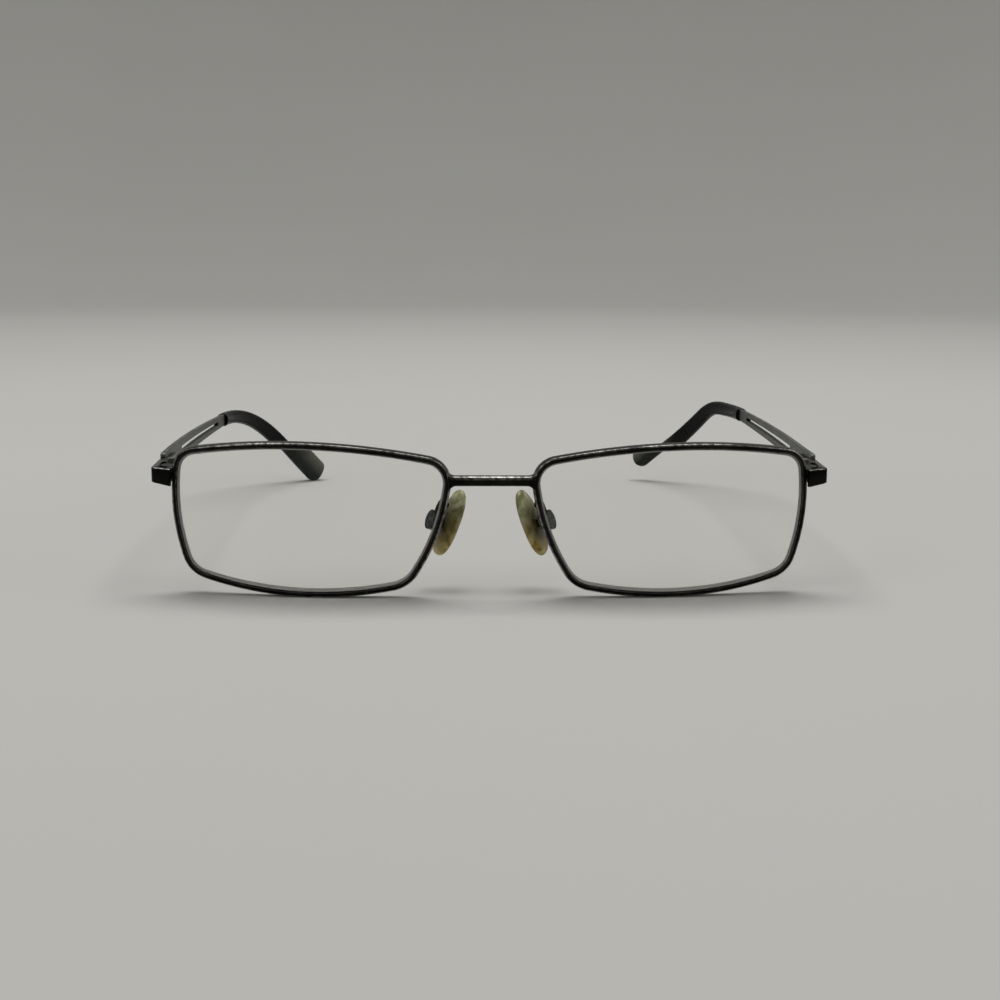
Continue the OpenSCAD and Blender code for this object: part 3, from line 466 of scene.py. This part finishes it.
def stage_finish():
    """Pale matt paper."""
    n = Nodes("stage_paper")
    grain = n.noise(3, 2, 0.5)
    n.feed("Base Color", n.ramp(grain, (0.0, (0.5, 0.495, 0.475)), (1.0, (0.53, 0.525, 0.505))))
    n.set(Roughness=0.9, Specular_IOR_Level=0.1)
    return n.mat


gunmetal = dark_plate("gunmetal", (0.005, 0.005, 0.0045), (0.011, 0.011, 0.0095),
                      worn=(0.4, 0.39, 0.365), rough=0.18)
box_metal = dark_plate("box_metal", (0.002, 0.002, 0.0018), (0.075, 0.075, 0.069),
                       worn=(0.4, 0.39, 0.36), rough=0.24, bump=0.4, slow_scale=900)
dark_metal = dark_plate("dark_metal", (0.02, 0.02, 0.018), (0.07, 0.07, 0.064),
                        worn=(0.4, 0.4, 0.38), rough=0.3)
arm_metal = arm_finish()
screw_steel = screw_finish()
lens_clear = lens_clear_finish()
lens_edge = lens_edge_finish()
tip_plastic = tip_finish()
silicone = silicone_finish()

# ---- Lens outline: four bowed sides (centre, radius) and four corner arcs, as in the source ----
SIDE_ARCS = [
    (np.array([LENS_W / 2 - OUTER_R, OUTER_PEAK]), OUTER_R),
    (np.array([TOP_PEAK, LENS_H / 2 - TOP_R]), TOP_R),
    (np.array([INNER_R - LENS_W / 2, INNER_PEAK]), INNER_R),
    (np.array([0.0, LOW_R - LENS_H / 2]), LOW_R),
]


def circles_meet(c1, r1, c2, r2, target):
    """The meeting point of two circles that lies nearer to the target."""
    d = np.linalg.norm(c2 - c1)
    e = (c2 - c1) / d
    along = (r1 * r1 - r2 * r2 + d * d) / (2 * d)
    off = math.sqrt(max(0.0, r1 * r1 - along * along)) * np.array([-e[1], e[0]])
    p, q = c1 + along * e + off, c1 + along * e - off
    return p if np.linalg.norm(p - target) < np.linalg.norm(q - target) else q


def outline_stations():
    """(centre, radius, angle) all round the outline, from the lock and back to it."""
    # steps along the outline: millimetres on the bowed sides, degrees on the corners
    side_step, corner_step = 1.1, 4.5
    centres, joins_out, joins_in = [], [], []

    def above(a, start):
        return start + (a - start) % 360

    for i, s in enumerate(((1, 1), (-1, 1), (-1, -1), (1, -1))):
        a, b, r = SIDE_ARCS[i], SIDE_ARCS[(i + 1) % 4], CORNERS[i]
        target = np.array([s[0] * LENS_W / 2, s[1] * LENS_H / 2])
        c = circles_meet(a[0], a[1] - r, b[0], b[1] - r, target)
        centres.append(c)
        for joins, side in ((joins_out, a), (joins_in, b)):
            d = c - side[0]
            joins.append(above(math.degrees(math.atan2(d[1], d[0])), -60 + 90 * i))
    lock = math.degrees(math.asin((LENS_DROP - OUTER_PEAK) / OUTER_R))
    arcs = [(*SIDE_ARCS[0], lock, joins_out[0])]
    for i in range(4):
        arcs.append((centres[i], CORNERS[i], joins_out[i], joins_in[i]))
        end = joins_out[i + 1] if i < 3 else lock + 360
        arcs.append((*SIDE_ARCS[(i + 1) % 4], joins_in[i], end))
    out = []
    for c, r, a0, a1 in arcs:
        on_side = r > max(CORNERS)
        share = r * math.radians(a1 - a0) / side_step if on_side else (a1 - a0) / corner_step
        steps = max(2, math.ceil(share))
        out += [(c, r, a0 + (a1 - a0) * k / steps) for k in range(steps)]
    out.append((SIDE_ARCS[0][0], OUTER_R, lock + 360))
    return out


STATIONS = outline_stations()


def outline(station, d=0.0):
    """The point of the outline at a station, moved outwards by d."""
    return station[0] + (station[1] + d) * dirs(station[2])


# ---- Rims ----
def rim_section():
    """Rounded section of the wire, (outwards, back), with the lens groove; and its edge wear."""
    half = BEVEL_W / 2 + LENS_FIT
    section = rounded([
        ((RIM_IN, 0), 0.38), ((RIM_OUT, 0), 0.44),
        ((RIM_OUT, RIM_DEPTH), 0.42), ((RIM_IN, RIM_DEPTH), 0.16),
        ((RIM_IN, BEVEL_DEPTH + half), 0.05), ((LENS_FIT, BEVEL_DEPTH), 0),
        ((RIM_IN, BEVEL_DEPTH - half), 0.05),
    ], 5)
    wear = []
    for d, w in section:
        # an edge wears on its rounding, a little way in from where its two faces would meet
        outer = near(math.hypot(d - RIM_OUT, w) - 0.19, 0.16)
        inner = near(math.hypot(d - RIM_IN, w) - 0.16, 0.14)
        back = near(d - RIM_OUT, 0.24) * near(w - RIM_DEPTH + 0.14, 0.24)
        wear.append(min(1, 1.3 * outer + 0.3 * inner + back))
    return section, wear


def build_rims():
    """The wire, led round the outline on the lens's front sphere, and open at the lock."""
    section, wear = rim_section()
    cut = math.degrees(LOCK_GAP / 2 / OUTER_R)
    rings = []
    for i, (centre, r, a) in enumerate(STATIONS):
        shift = cut if i == 0 else -cut if i == len(STATIONS) - 1 else 0
        station = (centre, r, a + shift)
        flat = np.array([outline(station, d) for d in section[:, 0]])
        back = float(sag(outline(station))) + section[:, 1]
        rings.append(np.stack([flat[:, 0], back, flat[:, 1]], -1))
    points, faces = tube(rings)
    make_pair("rim_wire", at_lens(points), faces, [gunmetal], "front", "gunmetal", "rim", 50,
              wear=np.tile(wear, len(rings)))


# ---- Lenses ----
def build_lenses():
    """Two polished spherical faces and a ground, V-shaped edge with small safety bevels."""
    loop = STATIONS[:-1]
    n = len(loop)
    steps = 22
    half = BEVEL_W / 2

    def band(inset):
        return np.array([outline(s, -BEVEL_H - inset) for s in loop])

    def level(flat, y):
        return np.stack([flat[:, 0], y, flat[:, 1]], -1)

    def front_y(flat):
        return FACE_DEPTH + sag(flat, FRONT_R)

    def back_y(flat):
        return FACE_DEPTH + LENS_T + sag(flat, BACK_R)

    edge, front_rim, back_rim = band(0), band(FRONT_SAFETY), band(BACK_SAFETY)
    peak = np.array([outline(s) for s in loop])
    bevel_y = sag(peak) + BEVEL_DEPTH
    # rings are closer together towards the edge
    shares = [math.sin(math.pi / 2 * k / steps) for k in range(1, steps + 1)]
    front = [level(front_rim * k, front_y(front_rim * k)) for k in shares]
    back = [level(back_rim * k, back_y(back_rim * k)) for k in reversed(shares)]
    sides = [
        level(edge, front_y(edge) + FRONT_SAFETY),
        level(edge, bevel_y - half),
        level(peak * 0.9995, bevel_y),
        level(edge, bevel_y + half),
        level(edge, back_y(edge) - 0.8 * BACK_SAFETY),
    ]
    rings = front + sides + back
    points, faces = tube(rings, caps=False)
    first = len(front) - 1
    kinds = [1 if first <= f // n < first + len(sides) + 1 else 0 for f in range(len(faces))]
    count = len(points)
    points = np.vstack([points, [[0, FACE_DEPTH, 0], [0, FACE_DEPTH + LENS_T, 0]]])
    last = (len(rings) - 1) * n
    for j in range(n):
        k = (j + 1) % n
        faces += [(count, k, j), (count + 1, last + j, last + k)]
        kinds += [0, 0]
    make_pair("lens_glass", at_lens(points), faces, [lens_clear, lens_edge], "front", "lens", "lens",
              25, kinds=kinds)


# ---- Bridge ----
def rim_nose_side():
    """Heights on the rim's outer face, on the nose side, and their distance from the middle plane."""
    points = []
    for s in STATIONS:
        x, z = outline(s, RIM_OUT)
        if x < 0:
            points.append([x, float(sag(outline(s))) + 1.0, z])
    points = lens_frame(points)
    points = points[points[:, 0] < LENS_GAP / 2 + 6]
    order = np.argsort(points[:, 2])
    return points[order, 2], points[order, 0]


def build_bridge():
    """A straight bar, sunk a little into the rims, which grows into a fillet at each end."""
    sink, fillet, fillet_reach = 0.3, 1.0, 1.3
    top, low = BRIDGE_RISE + BRIDGE_H / 2, BRIDGE_RISE - BRIDGE_H / 2
    y0, y1 = BRIDGE_FRONT, BRIDGE_FRONT + BRIDGE_DEPTH
    section = rounded([((y0, low), 0.5), ((y1, low), 0.45), ((y1, top), 0.3), ((y0, top), 0.75)], 7)
    y, z = section[:, 0], section[:, 1]
    heights, rim_x = rim_nose_side()
    stations = np.concatenate([
        np.linspace(-1, -0.8, 12), np.linspace(-0.78, 0.78, 60), np.linspace(0.8, 1, 12)])
    rings = []
    for t in stations:
        to_end = (1 - abs(t)) * (LENS_GAP / 2)
        grow = fillet * max(0.0, 1 - to_end / fillet_reach) ** 2.2
        off = z - BRIDGE_RISE
        grown = z + np.sign(off) * grow * np.minimum(1, np.abs(off) / 0.6)
        rings.append(np.stack([t * (np.interp(grown, heights, rim_x) + sink), y, grown], -1))
    points, faces = tube(rings)
    # worn bright along the top front edge, and faintly along the one below
    wear = np.clip(1.6 - np.hypot(y - y0 - 0.35, z - top + 0.1) / 0.42, 0, 1)
    wear += 0.4 * near(np.hypot(y - y0 - 0.12, z - low - 0.12), 0.25)
    make("bridge_bar", to_row(at_front(points), 1), faces, [gunmetal], "front", "gunmetal", "bridge",
         50, wear=np.tile(np.clip(wear, 0, 1), len(rings)))


# ---- Endpieces ----
def build_endpieces():
    """An L-shaped strip swept from the rim round the corner to the hinge."""
    sink, corner_r = 0.15, 1.0
    corner_x = FRONT_W / 2
    rim_x = LENS_X - WRAP_SHIFT + LENS_W / 2 + RIM_OUT - sink
    leg_top, leg_low = END_RISE + END_H / 2, END_RISE - END_H / 2
    foot_top, foot_low = leg_top - END_FOOT + END_BEVEL, leg_low - END_FOOT
    # outer line of the strip, its normal pointing inwards, and its thickness
    stations = []
    for x in np.linspace(rim_x, corner_x - corner_r, 22):
        stations.append((np.array([x, 0.0]), np.array([0.0, 1.0]), END_T))
    centre = np.array([corner_x - corner_r, corner_r])
    for a in np.linspace(-90, -FLARE, 15)[1:-1]:
        d = dirs(a)
        stations.append((centre + corner_r * d, -d, END_T + (LEG_T - END_T) * (a + 90) / 90))
    start = centre + corner_r * LEG_OUT
    length = (LEG_END - start) @ LEG_DIR
    for t in np.linspace(0, 1, 24):
        stations.append((start + LEG_DIR * length * t, -LEG_OUT, LEG_T))
    rings, wear = [], []
    for p, inward, thick in stations:
        # the front leg's edges drop evenly from the corner to the rim, the low one a little more
        on_front = p[1] < 0.6
        rise = float(np.clip((p[0] - corner_x + 3.5) / 3.3, 0, 1)) if on_front else 1.0
        sunk = 0.12 * max(0, (corner_x - 1.6 - p[0]) / 2.6)
        top = foot_top + (leg_top - foot_top) * rise
        low = foot_low - sunk + (leg_low - foot_low) * rise
        section = rounded([
            ((0, low), 0.22), ((thick, low), 0.16), ((thick, top), 0.16), ((0, top), 0.3)], 4)
        rings.append([[*(p + inward * u), v] for u, v in section])
        wear += [near(math.hypot(u - 0.06, v - top + 0.06), 0.2) for u, v in section]
    points, faces = tube(rings)
    make_pair("endpiece_strip", points, faces, [gunmetal], "front", "gunmetal", "endpiece", 50,
              wear=wear)


# ---- Temples ----
MOUTH_R = ARM_R - ARM_T / 2
MOUTH_TURN = math.degrees(math.asin(ARM_LEN / MOUTH_R))


def arm_half(y):
    """Half the strip's height at a distance behind the hinge."""
    return (ARM_H0 - (ARM_H0 - ARM_H1) * (np.asarray(y) / ARM_LEN) ** 1.5) / 2


def arm_mid(y, hand):
    """Height of the strip's middle line."""
    bent = np.maximum(0, np.asarray(y) - ARM_STRAIGHT)
    return ARM_LIFT + ARM_RISE[hand] * bent / (ARM_LEN - ARM_STRAIGHT)


def arm_tilt(hand):
    return math.degrees(math.atan(ARM_RISE[hand] / (ARM_LEN - ARM_STRAIGHT)))


def flat_with_holes(name, loops, depth, bevel):
    """Points and faces of a flat shape with holes, drawn out to a depth, its edges rounded over."""
    curve = bpy.data.curves.new(name, "CURVE")
    curve.dimensions = "2D"
    curve.fill_mode = "BOTH"
    curve.extrude = depth / 2 - bevel
    curve.bevel_depth = bevel
    curve.bevel_resolution = 2
    curve.offset = -bevel
    for loop in loops:
        spline = curve.splines.new("POLY")
        spline.points.add(len(loop) - 1)
        for point, (x, y) in zip(spline.points, loop):
            point.co = (x, y, 0, 1)
        spline.use_cyclic_u = True
    obj = bpy.data.objects.new(name, curve)
    bpy.context.scene.collection.objects.link(obj)
    bpy.context.view_layer.update()
    flat = obj.evaluated_get(bpy.context.evaluated_depsgraph_get())
    mesh = bpy.data.meshes.new_from_object(flat)
    bpy.data.objects.remove(obj)
    bm = bmesh.new()
    bm.from_mesh(mesh)
    bmesh.ops.remove_doubles(bm, verts=bm.verts, dist=1e-4)
    # cut across its length, so that it can be bowed
    lo = min(v.co.x for v in bm.verts)
    hi = max(v.co.x for v in bm.verts)
    for x in np.linspace(lo, hi, 42)[1:-1]:
        geom = bm.verts[:] + bm.edges[:] + bm.faces[:]
        bmesh.ops.bisect_plane(bm, geom=geom, plane_co=(x, 0, 0), plane_no=(1, 0, 0), dist=1e-5)
    bm.verts.index_update()
    points = np.array([v.co for v in bm.verts])
    faces = [[v.index for v in f.verts] for f in bm.faces]
    bm.free()
    return points, faces


def build_temples():
    """The bowed strip with its tapered slot, and the core wire that it is drawn down to."""
    edge_r, end_r, slot_r = 0.16, 0.5, 0.46
    slot_end = ARM_LEN - SLOT_MARGIN
    ys = np.linspace(0.05, ARM_LEN, 40)
    for side, sign, hand in SIDES:
        mid, half = arm_mid(ys, hand), arm_half(ys)
        radii = [end_r] + [0] * (len(ys) - 1)
        low = [((y, m - h), r) for y, m, h, r in zip(ys, mid, half, radii)]
        high = [((y, m + h), r) for y, m, h, r in zip(ys, mid, half, radii)]
        outer = rounded(low + high[::-1], 7)
        m0, m1 = float(arm_mid(SLOT_START, hand)), float(arm_mid(slot_end, hand))
        slot = rounded([
            ((SLOT_START, m0 - SLOT_H0 / 2), slot_r * SLOT_H0),
            ((slot_end, m1 - SLOT_H1 / 2), slot_r * SLOT_H1),
            ((slot_end, m1 + SLOT_H1 / 2), slot_r * SLOT_H1),
            ((SLOT_START, m0 + SLOT_H0 / 2), slot_r * SLOT_H0),
        ], 8)[::-1]
        flat, faces = flat_with_holes("arm_blank", [outer, slot], ARM_T, edge_r)
        y, z, depth = flat[:, 0], flat[:, 1], flat[:, 2]
        # bow the strip outwards: depth is measured from the middle of the strip
        r = ARM_R - ARM_T / 2 + depth
        turn = np.arcsin(np.clip(y / ARM_R, -1, 1))
        points = np.stack([LEG_INSET - ARM_R + r * np.cos(turn), y, z], -1)
        inside = np.clip(y, 0, ARM_LEN)
        to_edge = arm_half(inside) - np.abs(z - arm_mid(inside, hand))
        values = {
            "wear": near(to_edge, 0.1) * 0.5,
            "front": np.clip(1 - y / 30, 0, 1),
            # painted shade: a dark spot round the slot's far end
            "grime_and_painted_shade": np.clip(1.6 - np.hypot(y - slot_end + 0.4, z - m1) / 0.7, 0, 1),
        }
        core, core_faces = tube(core_rings(hand))
        faces = [list(f) for f in faces] + [[i + len(points) for i in f] for f in core_faces]
        points = np.vstack([points, core])
        values = {k: np.concatenate([v, np.zeros(len(core))]) for k, v in values.items()}
        make("temple_arm_" + side, to_row(at_hinge(points), sign), faces, [arm_metal], "arm_" + side,
             "arm_metal", "temple_" + side, 40, **values)


# ---- Temple tips ----
TIP_STEPS = 200


def tip_turns(s, hand):
    """How far the tip has turned inwards and down at a distance along it."""
    tilt = arm_tilt(hand)
    bend = float(smooth((s - TIP_STRAIGHT[hand]) / TIP_BEND[hand]))
    inwards = MOUTH_TURN + (TIP_TURN - MOUTH_TURN) * s / TIP_LEN
    return inwards, (TIP_DROP[hand] + tilt) * bend - tilt


def heading(turns):
    a, b = (math.radians(x) for x in turns)
    return np.array([-math.sin(a) * math.cos(b), math.cos(a) * math.cos(b), -math.sin(b)])


def tip_line(hand):
    """The tip's middle line, from its mouth on."""
    stride = TIP_LEN / TIP_STEPS
    mouth_x = LEG_INSET - ARM_R + MOUTH_R * math.cos(math.radians(MOUTH_TURN))
    line = [np.array([mouth_x, ARM_LEN, float(arm_mid(ARM_LEN, hand))])]
    for i in range(TIP_STEPS):
        line.append(line[-1] + stride * heading(tip_turns((i + 0.5) * stride, hand)))
    return np.array(line)


TIP_LINES = [tip_line(0), tip_line(1)]


def tip_ring(s, half_t, half_h, square, sides, hand):
    """A ring across the middle line. A higher square makes it less of an ellipse, more of a box."""
    line = TIP_LINES[hand]
    along = np.linspace(0, TIP_LEN, TIP_STEPS + 1)
    place = np.array([np.interp(s, along, line[:, k]) for k in range(3)])
    turns = tip_turns(s, hand)
    ahead = heading(turns)
    if s < 0:
        place = line[0] + s * ahead
    across = np.array([*dirs(turns[0]), 0])
    up = np.cross(across, ahead)
    ring = []
    for k in range(sides):
        c, d = dirs(360 * (k + 0.5) / sides)
        c, d = np.sign(c) * abs(c) ** (2 / square), np.sign(d) * abs(d) ** (2 / square)
        ring.append(place + across * half_t * c + up * half_h * d)
    return ring


def core_rings(hand):
    stops = np.linspace(-0.8, TIP_LEN * CORE_SHARE, 30)
    return [tip_ring(s, CORE_T / 2, CORE_W / 2, 4, 16, hand) for s in stops]


def build_tips():
    """A bent, slightly square sleeve with a rounded lip and a rounded end."""
    round_len = TIP_H1 / 2
    sides, square = 40, 2.6
    swell_end, swell_len = 6, 9

    def half_h(s):
        return (TIP_H0 + (TIP_H1 - TIP_H0) * float(smooth(s / (TIP_LEN - round_len)))) / 2

    # the mouth: a shallow recess round the core, then a rounded lip (distance, share of the size)
    lip = ((0.35, 0.45), (0.3, 0.72), (0.06, 0.86), (0.0, 0.92), (0.05, 0.975), (0.16, 1.0))
    height = np.maximum(0, np.sin(2 * math.pi * (np.arange(sides) + 0.5) / sides))
    over = height[:, None]
    for side, sign, hand in SIDES:
        rings = [tip_ring(s, TIP_T / 2 * k, half_h(0) * k, square, sides, hand) for s, k in lip]
        for s in np.linspace(0.3, TIP_LEN - round_len, 110):
            rings.append(tip_ring(float(s), TIP_T / 2, half_h(float(s)), square, sides, hand))
        for f in np.sin(np.linspace(0, math.pi / 2, 18))[1:-1]:
            s, k = TIP_LEN - round_len + round_len * float(f), math.sqrt(1 - f * f)
            thin = 0.25 + 0.75 * k ** 0.9
            rings.append(tip_ring(s, TIP_T / 2 * thin, TIP_H1 / 2 * k, square, sides, hand))
        rings = np.array(rings)
        for ring in rings:
            tall = ring[sides // 4] - ring[3 * sides // 4]
            share = np.linalg.norm(tall) / TIP_H1
            to_end = np.linalg.norm(ring.mean(0) - TIP_LINES[hand][-1])
            swell = PADDLE[hand] * float(smooth(1 - (to_end - swell_end) / swell_len))
            ring += over * tall / TIP_H1 * swell * min(1, share)
        points, faces = tube(rings)
        # the painted sheen: rising towards the end, on the upper half of each ring
        reach = smooth((np.arange(len(rings)) / len(rings) - 0.6) / 0.3)
        bloom = np.outer(reach, np.sqrt(height))
        make("temple_tip_cover_" + side, to_row(at_hinge(points), sign), faces, [tip_plastic],
             "arm_" + side, "tip_plastic", "temple_tip_" + side, 50, bloom=bloom.ravel())


# ---- Nose pads ----
def build_pads():
    """A soft cushion with full, rounded ends."""
    sides, levels = 56, 26
    full, flat = 0.8, 0.55

    def squared(v):
        return np.sign(v) * np.abs(v) ** full

    rings = []
    for i in range(levels + 1):
        a = math.radians(-88 + 176 * i / levels)
        k = math.cos(a) ** flat
        t = np.linspace(0, 2 * math.pi, sides, endpoint=False)
        along, over = np.sin(t), np.cos(t)
        z = squared(along) * PAD_LEN / 2 * k
        y = squared(over) * PAD_W / 2 * k * (1 - 0.1 * along)
        rings.append(np.stack([np.full(sides, math.sin(a) * PAD_T / 2), y, z], -1))
    points, faces = tube(rings)
    y, z = points[:, 1], points[:, 2]
    # the stiff core and the tab show dark through the middle, and the low end has yellowed
    core = np.clip(1.5 - np.hypot(y / (0.42 * PAD_W), (z + 0.6) / (0.3 * PAD_LEN)), 0, 0.9)
    low = smooth(0.5 - z / (0.75 * PAD_LEN))
    pads = make_pair("nose_pad_cushion", at_pad(points), faces, [silicone], "pad_{}", "silicone",
                     "nose_pad", 80, core=core, low=low)


def build_pad_arms():
    """A drawn wire from a solder foot on the rim's back, down into the pad box."""
    box_mid = PAD_T / 2 + BOX_GAP + BOX_T / 2
    foot = pad_frame(np.array([box_mid + 0.3, 0, BOX_D / 2 - 0.5 - BOX_DROP]))
    root = np.array([LENS_GAP / 2 + 0.9, -2.3, -5.0])
    p0, p1, p2, p3 = root, root + [0.2, 5, 0.1], foot + [-0.8, 0.4, 3], foot
    root_swell, root_share = 0.35, 0.3
    steps, sides = 48, 20
    rings = []
    for i in range(steps + 1):
        t = i / steps
        p = p0 * (1 - t) ** 3 + p1 * 3 * t * (1 - t) ** 2 + p2 * 3 * t * t * (1 - t) + p3 * t ** 3
        h = (p1 - p0) * (1 - t) ** 2 + (p2 - p1) * 2 * t * (1 - t) + (p3 - p2) * t * t
        h = h / np.linalg.norm(h)
        a = np.cross(h, [1.0, 0, 0])
        a = a / np.linalg.norm(a)
        b = np.cross(h, a)
        r = PAD_ARM_D / 2 * (1 + root_swell * max(0, 1 - t / root_share) ** 2)
        turns = [2 * math.pi * k / sides for k in range(sides)]
        rings.append([p + r * (a * math.cos(turn) + b * math.sin(turn)) for turn in turns])
    points, faces = tube(rings)
    make_pair("pad_arm_wire", at_front(points), faces, [gunmetal], "front", "gunmetal", "pad_arm", 50)


# ---- Small hardware keeps its CAD solids, with their edges eased (material, width in mm) ----
HARDWARE = {
    "rim_lock_upper": (dark_metal, 0.1), "rim_lock_lower": (dark_metal, 0.1),
    "rim_screw": (screw_steel, 0.05), "hinge_front": (dark_metal, 0.08),
    "hinge_temple": (dark_metal, 0.08), "hinge_screw": (screw_steel, 0.05),
    "pad_box": (box_metal, 0.4), "pad_mount": (dark_metal, 0.06), "pad_screw": (screw_steel, 0.04),
}


def finish_hardware():
    for name, (material, ease) in HARDWARE.items():
        for side, _, _ in SIDES:
            node = nodes[name + "_" + side]
            node.data.materials.clear()
            node.data.materials.append(material)
            bevel = node.modifiers.new("eased_edges", "BEVEL")
            bevel.width = ease * 0.001
            bevel.segments = 2
            bevel.limit_method = "ANGLE"
            bevel.angle_limit = math.radians(35)
            bevel.harden_normals = True


# ---- Stage, light and camera, in metres ----
def build_stage():
    """A pale floor that curves up into a low round wall, the same from all sides."""
    radius, curve, sides, gap = 1.9, 0.8, 96, 0.00001
    profile = [(radius - curve, 0.0)]
    for a in np.linspace(-90, 0, 24)[1:]:
        d = dirs(a)
        profile.append((radius - curve + curve * d[0], curve + curve * d[1]))
    compass = [dirs(360 * k / sides) for k in range(sides)]
    points = [(r * x, r * y, z - gap) for r, z in profile for x, y in compass]
    faces = []
    for i in range(len(profile) - 1):
        a, b = i * sides, (i + 1) * sides
        for k in range(sides):
            nxt = (k + 1) % sides
            faces.append((a + k, b + k, b + nxt, a + nxt))
    faces.append(tuple(range(sides)))
    mesh = bpy.data.meshes.new("stage_floor")
    mesh.from_pydata(points, [], faces)
    # all but the floor's own face are shaded smooth
    mesh.polygons.foreach_set("use_smooth", np.arange(len(faces)) < len(faces) - 1)
    mesh.materials.append(stage_finish())
    floor = bpy.data.objects.new("stage_floor", mesh)
    bpy.context.scene.collection.objects.link(floor)


def add_light(name, place, size, power):
    """A soft area light that looks at the middle of the floor."""
    data = bpy.data.lights.new(name, "AREA")
    data.shape = "RECTANGLE"
    data.size, data.size_y = size
    data.energy = power
    light = bpy.data.objects.new(name, data)
    bpy.context.scene.collection.objects.link(light)
    light.location = place
    light.rotation_euler = (-Vector(place)).to_track_quat("-Z", "Y").to_euler()


def build_light():
    world = bpy.data.worlds.new("studio")
    bpy.context.scene.world = world
    world.use_nodes = True
    sky = world.node_tree.nodes["Background"]
    sky.inputs["Color"].default_value = (0.3, 0.3, 0.29, 1)
    sky.inputs["Strength"].default_value = 1.0
    add_light("overhead", (0.0, 0.25, 1.3), (1.2, 0.6), 12)
    add_light("left_fill", (-1.2, -0.9, 0.9), (0.9, 0.9), 3)
    add_light("right_fill", (1.3, -0.5, 0.8), (0.8, 0.8), 2)


def build_camera():
    """The photo's camera, fitted to edges measured on the rims, bridge, endpieces and temples."""
    data = bpy.data.cameras.new("camera")
    data.sensor_width = 36
    data.lens = 54.07
    data.clip_start, data.clip_end = 0.01, 50
    camera = bpy.data.objects.new("camera", data)
    bpy.context.scene.collection.objects.link(camera)
    camera.location = (-0.006985, -0.363507, 0.074364)
    yaw, pitch, roll = math.radians(1.672), math.radians(-10.307), math.radians(0.363)
    ahead = np.array([math.sin(yaw) * math.cos(pitch), math.cos(yaw) * math.cos(pitch),
                      math.sin(pitch)])
    right = np.array([math.cos(yaw), -math.sin(yaw), 0])
    up = np.cross(right, ahead)
    c, s = math.cos(roll), math.sin(roll)
    right, up = right * c + up * s, up * c - right * s
    turn = Matrix([[right[i], up[i], -ahead[i]] for i in range(3)])
    camera.rotation_euler = turn.to_euler()
    bpy.context.scene.camera = camera


build_rims()
build_lenses()
build_bridge()
build_endpieces()
build_temples()
build_tips()
build_pads()
build_pad_arms()
finish_hardware()
build_stage()
build_light()
build_camera()
bpy.context.scene.view_settings.view_transform = "Standard"
